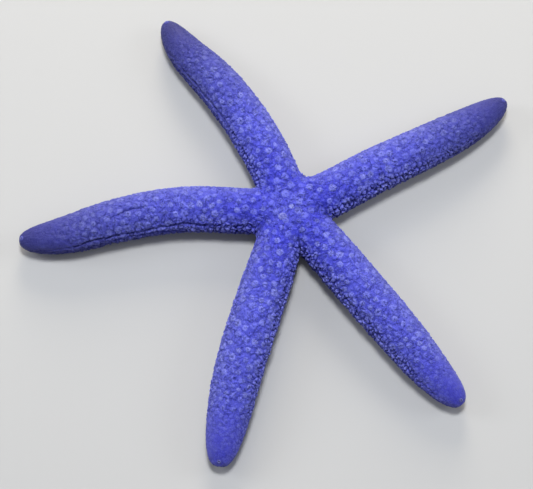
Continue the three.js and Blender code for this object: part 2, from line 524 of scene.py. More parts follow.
@dataclass(frozen=True, eq=False)
class Wiring:
    """Adds nodes to a shader or geometry tree, each method giving the result of its node."""

    tree: bpy.types.NodeTree

    def node(self, kind: str, **settings: object) -> bpy.types.Node:
        """Adds a node and sets its properties."""
        made = self.tree.nodes.new(kind)
        for name, value in settings.items():
            setattr(made, name, value)
        return made

    def feed(self, socket: bpy.types.NodeSocket, value: object) -> None:
        """Links a socket to a result, or sets it to a plain value."""
        value = value.socket if isinstance(value, Value) else value
        if isinstance(value, bpy.types.NodeSocket):
            self.tree.links.new(value, socket)
        else:
            socket.default_value = value

    def fill(self, sockets: Iterable, *values: object) -> None:
        """Feeds sockets in their order."""
        for socket, value in zip(sockets, values):
            self.feed(socket, value)

    def results(self, node: bpy.types.Node) -> dict[str, Value]:
        """All the results of a node, by name."""
        return {socket.name: Value(self, socket) for socket in node.outputs}

    def math(self, operation: str, *values: object, clamp: bool = False) -> Value:
        """A Math node."""
        made = self.node("ShaderNodeMath", operation=operation, use_clamp=clamp)
        self.fill(made.inputs, *values)
        return Value(self, made.outputs[0])

    def vector(self, operation: str, *values: object) -> Value:
        """A Vector Math node with vector inputs."""
        made = self.node("ShaderNodeVectorMath", operation=operation)
        self.fill(made.inputs, *values)
        return Value(self, made.outputs["Value" if operation == "LENGTH" else "Vector"])

    def scaled(self, vector: object, scale: object) -> Value:
        """A vector times a number."""
        made = self.node("ShaderNodeVectorMath", operation="SCALE")
        self.feed(made.inputs["Vector"], vector)
        self.feed(made.inputs["Scale"], scale)
        return Value(self, made.outputs["Vector"])

    def blend(self, share: object, first: object, second: object) -> Value:
        """Two numbers mixed by a share."""
        made = self.node("ShaderNodeMix", data_type="FLOAT")
        self.fill((made.inputs[0], made.inputs[2], made.inputs[3]), share, first, second)
        return Value(self, made.outputs[0])

    def layered(self, color: object, *layers: tuple[object, object]) -> Value:
        """A colour with others laid over it in turn, each with the share that it covers."""
        for share, layer in layers:
            made = self.node("ShaderNodeMix", data_type="RGBA")
            self.fill((made.inputs[0], made.inputs[6], made.inputs[7]), share, color, layer)
            color = Value(self, made.outputs[2])
        return color

    def split(self, vector: object) -> tuple[Value, ...]:
        """A vector's three numbers."""
        made = self.node("ShaderNodeSeparateXYZ")
        self.feed(made.inputs[0], vector)
        return tuple(self.results(made).values())

    def join(self, *values: object) -> Value:
        """A vector of three numbers."""
        made = self.node("ShaderNodeCombineXYZ")
        self.fill(made.inputs, *values)
        return Value(self, made.outputs[0])

    def noise(self, place: object, scale: object, detail: float, rough: float = 0.5) -> Value:
        """Noise as one number, about 0.5 on average."""
        made = self.node("ShaderNodeTexNoise", noise_dimensions="3D")
        names = ("Vector", "Scale", "Detail", "Roughness")
        self.fill((made.inputs[name] for name in names), place, scale, detail, rough)
        return Value(self, made.outputs[0])

    def cloud(self, place: object, cloud: Cloud) -> Value:
        """A band of soft noise."""
        return self.noise(place, cloud.scale, cloud.detail).ramp(cloud.band)

    def wobbled(self, place: object, rest: object, wobble: Wobble) -> Value:
        """A place that is shifted by the noise at the point itself."""
        made = self.node("ShaderNodeTexNoise", noise_dimensions="3D")
        names = ("Vector", "Scale", "Detail")
        self.fill((made.inputs[name] for name in names), rest, wobble.scale, wobble.detail)
        shift = self.vector("SUBTRACT", made.outputs[1], (0.5, 0.5, 0.5))
        return self.vector("ADD", place, self.scaled(shift, wobble.reach))

    def cells(
        self, place: object, pitch: float, feature: str = "F1", flat: bool = False
    ) -> dict[str, Value]:
        """A Voronoi node, flat or in space, whose cells are a pitch apart.

        Args:
            place: The place that it is read at.
            pitch: The cells' pitch.
            feature: What it measures.
            flat: True for cells in a plane.

        Returns:
            Its results. Its distances are in pitches.
        """
        dimensions = "2D" if flat else "3D"
        made = self.node("ShaderNodeTexVoronoi", voronoi_dimensions=dimensions, feature=feature)
        self.feed(made.inputs["Vector"], place)
        self.feed(made.inputs["Scale"], 1.0 / pitch)
        return self.results(made)

    def attribute(self, name: str) -> Value:
        """A vector attribute, in a material."""
        return Value(self, self.node("ShaderNodeAttribute", attribute_name=name).outputs["Vector"])

    def group(self, tree: bpy.types.NodeTree, **values: object) -> dict[str, Value]:
        """A shared group, placed with a material's own values."""
        node = self.node("ShaderNodeGroup", node_tree=tree)
        for name, value in values.items():
            self.feed(node.inputs[name], value)
        return self.results(node)

    def bump(self, shader: bpy.types.Node, height: object, strength: float) -> None:
        """Gives a shader the bumps of a height in millimetres."""
        made = self.node("ShaderNodeBump")
        made.inputs["Distance"].default_value = MM
        made.inputs["Strength"].default_value = strength
        self.feed(made.inputs["Height"], height)
        self.feed(shader.inputs["Normal"], made.outputs[0])


# ---------------------------------------------------------------- the skin's pattern


@dataclass(frozen=True)
class SkinLayout:
    """Where the plates and the kinds of skin lie.

    Lengths are millimetres at an arm's widest. Angles are radians: those of the rows and of the top
    field are up from the arm's side, the others down from its top.
    """

    plate_spacing: float = 4.0
    plate_radius: tuple[float, float] = (1.2, 1.85)
    plate_room: tuple[float, float] = (0.86, 1.0)
    top_field_from: float = math.radians(38)
    end_size: float = 0.62
    shrink: tuple[float, float] = (0.55, 0.95)
    row_angles: tuple[float, ...] = (math.radians(15), math.radians(-13))
    row_pitch: float = 3.1
    row_radius: float = 1.3
    row_start: float = 13.0
    row_end: float = 0.93
    row_sway: tuple[float, float] = (-0.08, 0.08)
    row_sizes: tuple[float, float] = (0.8, 1.15)
    row_gaps: tuple[float, float] = (0.85, 1.2)
    row_least: float = 0.4
    flank: tuple[float, float] = (math.radians(25), math.radians(70))
    # angles down from the top over which the painted sheen rises on a smoother flank
    painted_sheen: tuple[float, float] = (math.radians(4), math.radians(58))
    low: tuple[float, float] = (math.radians(62), math.radians(84))
    low_rough: float = 0.7
    grey: tuple[float, float] = (0.35, 1.0)
    smoother: tuple[float, float] = (0.4, 0.7)
    smoother_share: float = 0.45
    disc_edge: tuple[float, float] = (14.0, 18.0)
    crease_room: float = 4.0
    throws: int = 60000
    seed: int = 11


LAYOUT = SkinLayout()
LAY = "skin_lay"
ZONE = "skin_zone"
REST = "skin_rest"
PLATE = "skin_plate"
# the skin's roughness, its painted sheen and the gap to the nearest crease
ROUGH_SHEEN = "skin_wear"
ATTRIBUTES = (LAY, ZONE, REST, PLATE, ROUGH_SHEEN)


@dataclass(frozen=True)
class Mounds:
    """The soft low mounds of the skin between the plates, and the short wavy folds among them."""

    pitch: float = 1.75
    height: float = 0.38
    under_height: float = 0.2
    wobble: Wobble = Wobble(0.55, 1.0, 1.8)
    slope: Band = Band(0.05, 0.72, 1.0, 0.0)
    fold_scale: float = 0.62
    fold_depth: float = 0.28
    fold_width: Band = Band(0.01, 0.06, 1.0, 0.0)
    fold_patches: Cloud = Cloud(0.33, 2.0, Band(0.42, 0.52))

    def build(self, wires: Wiring, rest: Value) -> tuple[Value, Value]:
        """Gives the mounds and the folds, each from 0 to 1."""
        place = wires.wobbled(rest, rest, self.wobble)
        mound = wires.cells(place, self.pitch)["Distance"].ramp(self.slope)
        fold = abs(wires.noise(place, self.fold_scale, 1.0) - 0.5).ramp(self.fold_width)
        return mound, fold * wires.cloud(rest, self.fold_patches)


@dataclass(frozen=True)
class Blocks:
    """The rough blocks of a flank, drawn out across the arm, with deep gaps between them."""

    pitch: float = 2.7
    stretch: float = 1.3
    height: float = 1.0
    sunk: float = 0.35
    wobble: Wobble = Wobble(0.5, 2.0, 2.6)
    heights: Band = Band(0.0, 1.0, 0.55, 1.0)
    rounding: Band = Band(0.0, 0.45, 1.0, 0.0)
    rounding_depth: float = 0.4
    gap_width: Band = Band(0.02, 0.16, 1.0, 0.0)
    gap_patches: Cloud = Cloud(0.42, 1.0, Band(0.38, 0.58, 0.15, 1.0))
    # painted highlight on the blocks' tops, away from their edges and strongest on the tallest blocks
    highlight_edge: Band = Band(0.08, 0.26)
    highlight_tones: Band = Band(0.1, 0.9, 0.45, 1.0)

    def build(self, wires: Wiring, lay: Value, rest: Value) -> tuple[Value, Value, Value]:
        """Gives the blocks' height, the gaps between them and the painted highlight on their tops."""
        along, around, _ = wires.split(lay)
        place = wires.wobbled(wires.join(along * self.stretch, around, 0.0), rest, self.wobble)
        edge = wires.cells(place, self.pitch, "DISTANCE_TO_EDGE", True)["Distance"]
        tone = wires.split(wires.cells(place, self.pitch, "F1", True)["Color"])[0]
        gap = edge.ramp(self.gap_width) * wires.cloud(rest, self.gap_patches)
        height = tone.ramp(self.heights) - (edge.ramp(self.rounding) * self.rounding_depth + gap)
        return height, gap, edge.ramp(self.highlight_edge) * tone.ramp(self.highlight_tones)


@dataclass(frozen=True)
class Plates:
    """The pale plates, each a low dome of granules with a paler ring and often a pore.

    Places and widths across a plate are shares of its radius.
    """

    height: float = 0.26
    uneven: tuple[float, float, float] = (0.5, 2.0, 0.6)
    raggedness: float = 1.15
    body: Band = Band(0.65, 1.05, 1.0, 0.0)
    hill: Band = Band(0.2, 1.25, 1.0, 0.0)
    moat_place: float = 1.1
    moat_width: Band = Band(0.03, 0.2, 1.0, 0.0)
    moat_patches: Cloud = Cloud(0.45, 1.0, Band(0.46, 0.56))
    moat_depth: float = 0.16
    ring_place: float = 0.6
    ring_width: Band = Band(0.05, 0.6, 1.0, 0.0)
    inner: Band = Band(0.3, 1.0, 0.6, 0.0)
    tones: tuple[float, float] = (0.6, 0.1)
    pore_raggedness: float = 0.4
    pore_width: Band = Band(0.12, 0.3, 1.0, 0.0)
    pore_marks: Band = Band(0.3, 0.4)
    pore_depth: float = 0.2
    granule_pitch: float = 0.62
    granule_height: float = 0.07
    granule_slope: Band = Band(0.15, 0.6, 1.0, 0.0)
    granule_tones: tuple[float, float] = (0.75, 1.1)

    def build(self, wires: Wiring, rest: Value, plate: Value) -> dict[str, Value]:
        """Gives a plate's body, height, moat, paleness and pore.

        Args:
            wires: The tree's wiring.
            rest: The point itself.
            plate: The gap to the nearest plate's middle, and two numbers of the plate's own.

        Returns:
            The results, by name.
        """
        even, tone, mark = wires.split(plate)
        uneven = wires.noise(rest, *self.uneven) - 0.5
        gap = even + uneven * self.raggedness
        body = gap.ramp(self.body)
        moat = abs(gap - self.moat_place).ramp(self.moat_width)
        ring = abs(gap - self.ring_place).ramp(self.ring_width)
        pore = (even + uneven * self.pore_raggedness).ramp(self.pore_width)
        pore = pore * mark.ramp(self.pore_marks)
        bead = wires.cells(rest, self.granule_pitch)["Distance"].ramp(self.granule_slope)
        pale = ring.most(gap.ramp(self.inner)) * wires.math("MULTIPLY_ADD", tone, *self.tones)
        beads = bead * (body * self.granule_height)
        return {
            "body": body,
            "height": gap.ramp(self.hill) * self.height + beads - pore * self.pore_depth,
            "moat": moat * wires.cloud(rest, self.moat_patches),
            "pale": pale * wires.blend(bead, *self.granule_tones),
            "pore": pore,
        }


@dataclass(frozen=True)
class Furrow:
    """The broken furrow along each flank, above the marginal plates."""

    angle: float = math.radians(29)
    depth: float = 0.5
    wander_scale: float = 0.3
    wander: float = 0.35
    width: Band = Band(0.02, 0.1, 1.0, 0.0)
    patches: Cloud = Cloud(0.6, 1.0, Band(0.42, 0.58))

    def build(self, wires: Wiring, side: Value, rest: Value) -> Value:
        """Gives the furrow, from 0 to 1."""
        wander = (wires.noise(rest, self.wander_scale, 1.0) - 0.5) * self.wander
        level = (math.pi / 2 - self.angle) - (side + wander)
        return abs(level).ramp(self.width) * wires.cloud(rest, self.patches)


@dataclass(frozen=True)
class LongCreases:
    """The long creases, of uneven width and depth."""

    depth: float = 0.75
    uneven: tuple[float, float] = (0.6, 2.0)
    raggedness: float = 1.3
    width: Band = Band(0.1, 1.15, 1.0, 0.0)
    patches: Cloud = Cloud(0.25, 1.0, Band(0.36, 0.5, 0.35, 1.0))

    def build(self, wires: Wiring, gap: Value, rest: Value) -> Value:
        """Gives the creases, from 0 to 1."""
        uneven = wires.noise(rest, *self.uneven) - 0.5
        gap = wires.math("MULTIPLY_ADD", uneven, self.raggedness, gap)
        return gap.ramp(self.width) * wires.cloud(rest, self.patches)


@dataclass(frozen=True)
class SkinPattern:
    """The skin's relief, its markings, and its painted shade, sheen and highlights, from where a point
    lies on an arm.

    The same nodes raise the mesh and colour it, so that each plate's colour sits on its own bump.
    """

    mounds: Mounds = Mounds()
    blocks: Blocks = Blocks()
    plates: Plates = Plates()
    furrow: Furrow = Furrow()
    creases: LongCreases = LongCreases()
    arm_only: Band = Band(*LAYOUT.disc_edge)
    worn: Band = Band(0.72, 0.95)
    groove_edge: Band = Band(-0.15, 0.25)
    crease_calm: Band = Band(1.0, 3.5, 0.45, 1.0)
    # how much relief the smoother flank with painted sheen keeps
    smooth_relief: float = 0.8
    rough_cover: float = 0.55
    block_on_plate: float = 0.6
    worn_relief: float = 0.3
    low_calm: Band = Band(0.5, 3.0, 0.2, 1.0)
    under: Band = Band(math.radians(122), math.radians(140))
    worn_pale: float = 0.35
    disc_pale: Band = Band(3.0, 15.0, 0.6, 1.0)
    # how much painted shade the hollows, the moats and the crevices take
    valley_level: float = 0.85
    moat_deep: float = 0.8
    worn_deep: float = 0.5
    fold_dark: float = 0.5
    pore_dark: float = 0.7
    gap_dark: float = 1.05
    crease_dark: float = 0.6
    gullet: Band = Band(0.4, 2.2, 0.85, 0.0)
    shade: Band = Band(math.radians(80), math.radians(105))
    shade_share: float = 0.6
    bloom_in: Band = Band(0.12, 0.4)
    bloom_out: Band = Band(0.7, 1.0, 1.0, 0.0)
    disc_bloom: Band = Band(5.0, 15.0, 0.7, 0.0)

    def build(
        self, wires: Wiring, lay: Value, zone: Value, rest: Value, plate: Value, rough_sheen: Value
    ) -> dict[str, Value]:
        """Builds the whole pattern.

        Args:
            wires: The tree's wiring.
            lay: The place on the arm, along it and round it, and how grey the skin is there.
            zone: The share of the arm's length, the angle down from its top, and the depth inside
                the groove.
            rest: The point itself, in millimetres from the disc's middle.
            plate: The gap to the nearest plate's middle in radii, and two numbers of the plate's own.
            rough_sheen: How rough the flank is there, how smooth it is with painted sheen, and the gap
                to the nearest crease.

        Returns:
            The height, and the masks that the finish reads.
        """
        share, side, inside = wires.split(zone)
        flat_x, flat_y, level = wires.split(rest)
        rough, hazy, crease_gap = wires.split(rough_sheen)
        radius = wires.vector("LENGTH", wires.join(flat_x, flat_y, 0.0))
        worn = share.ramp(self.worn)
        groove = inside.ramp(self.groove_edge)
        outside = 1.0 - groove

        mound, fold = self.mounds.build(wires, rest)
        block, gap, top = self.blocks.build(wires, lay, rest)
        large = self.plates.build(wires, rest, plate)
        furrow = self.furrow.build(wires, side, rest) * radius.ramp(self.arm_only)
        furrow = furrow * (rough * (1.0 - worn))
        crease = self.creases.build(wires, crease_gap, rest)
        rough = rough * crease_gap.ramp(self.crease_calm)
        fresh = wires.blend(hazy, 1.0, self.smooth_relief)
        bare = 1.0 - large["body"] * wires.blend(rough, 1.0, self.rough_cover)
        fold = fold * fresh

        height = mound * (bare * self.mounds.height) * fresh + large["height"]
        height = height - fold * self.mounds.fold_depth
        raised = (block - self.blocks.sunk) * (rough * self.blocks.height)
        height = height + raised * wires.blend(large["body"], 1.0, self.block_on_plate)
        height = height - large["moat"] * self.plates.moat_depth
        height = height - furrow * self.furrow.depth
        height = height - crease * self.creases.depth
        calm = wires.blend(worn, 1.0, self.worn_relief) * outside * level.ramp(self.low_calm)
        under = side.ramp(self.under)
        sunk = under * outside * wires.blend(mound, self.mounds.under_height, 0.0)

        # deep: painted shade in the hollows between the mounds and in the moats round the plates
        deep = wires.math("SUBTRACT", self.valley_level, mound, clamp=True) * bare
        deep = deep.most(large["moat"] * self.moat_deep)
        # dark: painted shade in the folds, the plates' pores, the gaps between the blocks, the furrows
        # and the creases
        dark = (fold * self.fold_dark).most(large["pore"] * self.pore_dark)
        dark = dark.most(gap * rough * self.gap_dark) * wires.blend(worn, 1.0, self.worn_relief)
        pale = large["pale"] * wires.blend(worn, 1.0, self.worn_pale)
        bloom = share.ramp(self.bloom_in) * share.ramp(self.bloom_out)
        return {
            "height": height * calm - sunk,
            "pale": pale * radius.ramp(self.disc_pale),
            "crown": top * rough,
            "deep": deep * (fresh * wires.blend(worn, 1.0, self.worn_deep)),
            "dark": dark.most(furrow.most(crease * self.crease_dark)),
            "under": under,
            "groove": groove,
            "gullet": groove * radius.ramp(self.gullet),
            "grey": wires.split(lay)[2],
            "worn": worn,
            "hazy": hazy,
            "shade": side.ramp(self.shade) * self.shade_share,
            "bloom": bloom.most(radius.ramp(self.disc_bloom)),
        }


PATTERN = SkinPattern()


def relief_group() -> bpy.types.NodeTree:
    """The geometry nodes that raise the pattern out of the skin, but never push it under the floor."""
    tree = bpy.data.node_groups.new("raise_plates", "GeometryNodeTree")
    for side in ("INPUT", "OUTPUT"):
        tree.interface.new_socket("Geometry", in_out=side, socket_type="NodeSocketGeometry")
    wires = Wiring(tree)
    read = []
    for name in ATTRIBUTES:
        node = wires.node("GeometryNodeInputNamedAttribute", data_type="FLOAT_VECTOR")
        node.inputs["Name"].default_value = name
        read.append(Value(wires, node.outputs["Attribute"]))
    height = PATTERN.build(wires, *read)["height"]
    normal = wires.node("GeometryNodeInputNormal").outputs[0]
    mover = wires.node("GeometryNodeSetPosition")
    wires.feed(mover.inputs["Geometry"], wires.node("NodeGroupInput").outputs[0])
    wires.feed(mover.inputs["Offset"], wires.scaled(normal, height * MM))
    x, y, z = wires.split(wires.node("GeometryNodeInputPosition").outputs[0])
    rest_on = wires.node("GeometryNodeSetPosition")
    wires.feed(rest_on.inputs["Geometry"], mover.outputs[0])
    wires.feed(rest_on.inputs["Position"], wires.join(x, y, z.most(0.0)))
    wires.feed(wires.node("NodeGroupOutput").inputs[0], rest_on.outputs[0])
    return tree


# ---------------------------------------------------------------- finishes


Color = tuple[float, float, float, float]
HARD_BUMP = 0.5
MOTTLE_DETAIL = 3.0


def srgb(red: float, green: float, blue: float) -> Color:
    """A linear colour from 0 to 255 screen values."""
    linear = []
    for value in (red, green, blue):
        share = value / 255
        linear.append(share / 12.92 if share <= 0.04045 else ((share + 0.055) / 1.055) ** 2.4)
    return (*linear, 1.0)


def new_material(
    name: str, roughness: float, specular: float
) -> tuple[bpy.types.Material, Wiring, bpy.types.Node]:
    """Starts a material.

    Args:
        name: The material's name.
        roughness: How rough the surface is.
        specular: The strength of its shine.

    Returns:
        The material, its wiring and its shader node.
    """
    material = bpy.data.materials.new(name)
    material.use_nodes = True
    shader = material.node_tree.nodes["Principled BSDF"]
    shader.inputs["Roughness"].default_value = roughness
    shader.inputs["Specular IOR Level"].default_value = specular
    return material, Wiring(material.node_tree), shader


def shared_group(
    name: str, inputs: dict[str, str], build: Callable[[Wiring, dict[str, Value]], dict[str, Value]]
) -> bpy.types.NodeTree:
    """Gives a shader group that several materials use, and builds it the first time.

    Args:
        name: The group's name.
        inputs: The kind of socket for each input's name.
        build: Adds the nodes, and gives the result for each output's name, all of them numbers.

    Returns:
        The group.
    """
    known = bpy.data.node_groups.get(name)
    if known:
        return known
    tree = bpy.data.node_groups.new(name, "ShaderNodeTree")
    for label, kind in inputs.items():
        tree.interface.new_socket(label, in_out="INPUT", socket_type=kind)
    wires = Wiring(tree)
    made = build(wires, wires.results(wires.node("NodeGroupInput")))
    for label in made:
        tree.interface.new_socket(label, in_out="OUTPUT", socket_type="NodeSocketFloat")
    target = wires.node("NodeGroupOutput")
    for label, value in made.items():
        wires.feed(target.inputs[label], value)
    return tree


def marks_and_painted_light_group() -> bpy.types.NodeTree:
    """The group that gives the skin's markings and its painted shade, sheen and highlights at a point,
    as masks and a height.
    """

    def build(inner: Wiring, _: dict[str, Value]) -> dict[str, Value]:
        """The pattern's nodes."""
        return PATTERN.build(inner, *(inner.attribute(name) for name in ATTRIBUTES))

    return shared_group("skin_markings", {}, build)


def grain(wires: Wiring, place: Value, pitch: float, depth: float) -> dict[str, Value]:
    """Places the fine grain of all the hard and leathery surfaces in a material.

    Args:
        wires: The material's wiring.
        place: The place that the grain follows.
        pitch: The size of a grain, in millimetres.
        depth: Its depth, in millimetres.

    Returns:
        The "Gap" to a grain's middle in pitches, and the "Height" in millimetres.
    """

    def build(inner: Wiring, given: dict[str, Value]) -> dict[str, Value]:
        """The grain's nodes."""
        cells = inner.node("ShaderNodeTexVoronoi", voronoi_dimensions="3D", feature="F1")
        inner.feed(cells.inputs["Vector"], given["Place"])
        inner.feed(cells.inputs["Scale"], inner.math("DIVIDE", 1.0, given["Pitch"]))
        gap = inner.results(cells)["Distance"]
        return {"Gap": gap, "Height": gap * (given["Depth"] * -1.0)}

    kinds = {"Place": "NodeSocketVector", "Pitch": "NodeSocketFloat", "Depth": "NodeSocketFloat"}
    return wires.group(shared_group("fine_grain", kinds, build), Place=place, Pitch=pitch, Depth=depth)


def mottle(wires: Wiring, place: Value, scale: float, low: float = 0.3, high: float = 0.7) -> Value:
    """Places the soft mottling in a material.

    Args:
        wires: The material's wiring.
        place: The place that the mottling follows.
        scale: How many of its spots fit in a millimetre.
        low: The noise that gives 0.
        high: The noise that gives 1.

    Returns:
        A share from 0 to 1.
    """

    def build(inner: Wiring, given: dict[str, Value]) -> dict[str, Value]:
        """The mottling's nodes."""
        cloud = inner.noise(given["Place"], given["Scale"], MOTTLE_DETAIL)
        return {"Share": cloud.ramp(Band(given["Low"], given["High"]))}

    kinds = {"Place": "NodeSocketVector"} | dict.fromkeys(("Scale", "Low", "High"), "NodeSocketFloat")
    tree = shared_group("mottle", kinds, build)
    return wires.group(tree, Place=place, Scale=scale, Low=low, High=high)["Share"]


@dataclass(frozen=True)
class SkinFinish:
    """The blue granular skin, with painted shade, sheen and highlights."""

    roughness: float = 0.58
    specular: float = 0.22
    ground: Color = srgb(74, 79, 219)
    cloud: Color = srgb(87, 93, 216)
    # the painted shade colour of the hollows
    valley_shade: Color = srgb(52, 55, 196)
    plate: Color = srgb(144, 151, 234)
    # painted highlight colour on the tops of the flank blocks
    block: Color = srgb(148, 153, 255)
    # pale grey blue: the colour of the painted sheen, and of the grey at the arms' ends
    painted_sheen: Color = srgb(117, 121, 188)
    # the painted shade colour
    crevice_shade: Color = srgb(12, 10, 84)
    tip: Color = srgb(50, 51, 112)
    end: Color = srgb(66, 58, 170)
    under: Color = srgb(120, 124, 200)
    groove: Color = srgb(206, 196, 170)
    gullet: Color = srgb(74, 48, 42)
    clouds: tuple[float, float, float] = (0.16, 0.38, 0.66)
    bloom_share: float = 0.13
    faded_share: float = 0.28
    painted_sheen_share: float = 0.48
    end_share: float = 0.35
    tip_power: float = 1.6
    # how strongly the painted shade in the crevices shows
    dark_share: float = 0.84
    streak_stretch: tuple[float, float, float] = (0.12, 1.1, 0.0)
    streak: Cloud = Cloud(1.0, 2.0, Band(0.5, 0.66))
    streak_share: float = 0.08
    grain_pitch: float = 0.4
    grain_depth: float = 0.07
    grain_shade: Band = Band(0.35, 0.75, 0.0, 0.3)
    sheen: float = 0.16
    sheen_tint: Color = srgb(150, 158, 255)
    sheen_roughness: float = 0.5
    bump: float = 0.9

    def make(self) -> bpy.types.Material:
        """Builds the material."""
        material, wires, shader = new_material("skin", self.roughness, self.specular)
        marks = wires.group(marks_and_painted_light_group())
        rest = wires.attribute(REST)
        fine = grain(wires, rest, self.grain_pitch, self.grain_depth)
        streaks = wires.vector("MULTIPLY", wires.attribute(LAY), self.streak_stretch)
        streaks = wires.cloud(streaks, self.streak) * (marks["worn"] * self.streak_share)
        tint = wires.layered(
            self.ground,
            (mottle(wires, rest, *self.clouds), self.cloud),
            # painted shade in the hollows and moats
            (marks["deep"], self.valley_shade),
            (marks["bloom"] * self.bloom_share, self.plate),
            (marks["grey"] * wires.blend(marks["worn"], self.faded_share, 0.0), self.painted_sheen),
            # painted sheen: a pale haze over each arm's smoother flank
            (marks["hazy"] * self.painted_sheen_share, self.painted_sheen),
            (marks["pale"], self.plate),
            # painted highlight on the tops of the flank blocks
            (marks["crown"], self.block),
            (marks["worn"] * self.end_share, self.end),
            (wires.math("POWER", marks["grey"], self.tip_power), self.tip),
            (streaks, self.plate),
            # painted shade: the crevices, the lower flanks and the gaps between the grains take the
            # shade colour
            (marks["dark"] * self.dark_share, self.crevice_shade),
            (marks["shade"], self.crevice_shade),
            (marks["under"], self.under),
            (marks["groove"], self.groove),
            (marks["gullet"], self.gullet),
            (fine["Gap"].ramp(self.grain_shade), self.crevice_shade),
        )
        wires.feed(shader.inputs["Base Color"], tint)
        shader.inputs["Sheen Weight"].default_value = self.sheen
        shader.inputs["Sheen Tint"].default_value = self.sheen_tint
        shader.inputs["Sheen Roughness"].default_value = self.sheen_roughness
        wires.bump(shader, marks["height"] + fine["Height"], self.bump)
        return material


@dataclass(frozen=True)
class MadreporiteFinish:
    """The pale sieve plate, with blue in its furrows."""

    roughness: float = 0.7
    specular: float = 0.2
    ridge: Color = srgb(152, 158, 226)
    furrow: Color = srgb(62, 64, 168)
    ridges: Band = Band(0.0, 1.0)
    spots: tuple[float, float, float] = (1.4, 0.35, 0.62)
    spot_tones: tuple[float, float] = (0.55, 0.45)
    grain: tuple[float, float] = (0.22, 0.05)

    def make(self) -> bpy.types.Material:
        """Builds the material."""
        material, wires, shader = new_material("madreporite", self.roughness, self.specular)
        own = wires.attribute(OWN)
        _, _, ridge = wires.split(own)
        spots = wires.math("MULTIPLY_ADD", mottle(wires, own, *self.spots), *self.spot_tones)
        tint = wires.layered(self.furrow, (ridge.ramp(self.ridges) * spots, self.ridge))
        wires.feed(shader.inputs["Base Color"], tint)
        wires.bump(shader, grain(wires, own, *self.grain)["Height"], HARD_BUMP)
        return material


@dataclass(frozen=True)
class TerminalFinish:
    """The plate at an arm's end: grey blue, pale round its pore, with painted shade in the pore."""

    roughness: float = 0.6
    specular: float = 0.25
    body: Color = srgb(72, 74, 158)
    rim: Color = srgb(120, 124, 192)
    # painted shade in the pore
    pore: Color = srgb(16, 14, 60)
    uneven: tuple[float, float] = (2.2, 2.0)
    unevenness: float = 0.25
    rim_reach: Band = Band(0.5, 1.0)
    pore_reach: Band = Band(0.4, 0.52, 1.0, 0.0)
    grain: tuple[float, float] = (0.3, 0.08)

    def make(self) -> bpy.types.Material:
        """Builds the material."""
        material, wires, shader = new_material("terminal_plate", self.roughness, self.specular)
        own = wires.attribute(OWN)
        across, along, _ = wires.split(own)
        reach = wires.vector("LENGTH", wires.join(across, along, 0.0))
        reach = reach + wires.noise(own, *self.uneven) * self.unevenness
        layers = ((reach.ramp(self.rim_reach), self.body), (reach.ramp(self.pore_reach), self.pore))
        wires.feed(shader.inputs["Base Color"], wires.layered(self.rim, *layers))
        wires.bump(shader, grain(wires, own, *self.grain)["Height"], HARD_BUMP)
        return material


@dataclass(frozen=True)
class EyeFinish:
    """The red eye spot, a cushion of tiny cups."""

    roughness: float = 0.3
    specular: float = 0.5
    cup: Color = srgb(196, 62, 28)
    edge: Color = srgb(116, 22, 16)
    cup_reach: Band = Band(0.2, 0.6)
    grain: tuple[float, float] = (0.24, 0.08)
    bump: float = 0.6

    def make(self) -> bpy.types.Material:
        """Builds the material."""
        material, wires, shader = new_material("eye_spot", self.roughness, self.specular)
        fine = grain(wires, wires.attribute(OWN), *self.grain)
        tint = wires.layered(self.cup, (fine["Gap"].ramp(self.cup_reach), self.edge))
        wires.feed(shader.inputs["Base Color"], tint)
        wires.bump(shader, fine["Height"], self.bump)
        return material


@dataclass(frozen=True)
class FeetFinish:
    """The soft, slightly clear skin of the tube feet, with a darker sucker rim."""

    roughness: float = 0.35
    specular: float = 0.5
    softness: float = 0.3
    soft_reach: tuple[float, float, float] = (0.001, 0.0006, 0.0003)
    stalk: Color = srgb(222, 208, 170)
    blotch: Color = srgb(206, 196, 178)
    sucker: Color = srgb(196, 166, 122)
    blotch_scale: float = 0.9
    sucker_top: Band = Band(0.35, 0.7, 1.0, 0.0)
    wrinkle_pitch: float = 0.45
    wrinkle_depth: float = 0.04

    def make(self) -> bpy.types.Material:
        """Builds the material."""
        material, wires, shader = new_material("tube_feet", self.roughness, self.specular)
        shader.inputs["Subsurface Weight"].default_value = self.softness
        shader.inputs["Subsurface Radius"].default_value = self.soft_reach
        own = wires.attribute(OWN)
        _, _, height = wires.split(own)
        blotches = mottle(wires, own, self.blotch_scale)
        sucker = height.ramp(self.sucker_top)
        tint = wires.layered(self.stalk, (blotches, self.blotch), (sucker, self.sucker))
        wires.feed(shader.inputs["Base Color"], tint)
        fold = wires.math("SINE", height * (2 * math.pi / self.wrinkle_pitch))
        wires.bump(shader, fold * self.wrinkle_depth, HARD_BUMP)
        return material


@dataclass(frozen=True)
class SpineFinish:
    """The blunt furrow spines: blue at the root, cream at the tip."""

    roughness: float = 0.55
    specular: float = 0.35
    root: Color = srgb(104, 108, 190)
    end: Color = srgb(216, 206, 182)
    mottle_scale: float = 1.6
    mottle_share: float = 0.25
    root_from: Band = Band(0.2, 0.95)
    grain: tuple[float, float] = (0.18, 0.04)

    def make(self) -> bpy.types.Material:
        """Builds the material."""
        material, wires, shader = new_material("furrow_spines", self.roughness, self.specular)
        own = wires.attribute(OWN)
        _, _, height = wires.split(own)
        spots = mottle(wires, own, self.mottle_scale)
        level = wires.math("MULTIPLY_ADD", spots, self.mottle_share, height)
        tint = wires.layered(self.end, (level.ramp(self.root_from), self.root))
        wires.feed(shader.inputs["Base Color"], tint)
        wires.bump(shader, grain(wires, own, *self.grain)["Height"], HARD_BUMP)
        return material


# ---------------------------------------------------------------- the body


Plate = tuple[Vector, float]  # a plate's middle and its radius

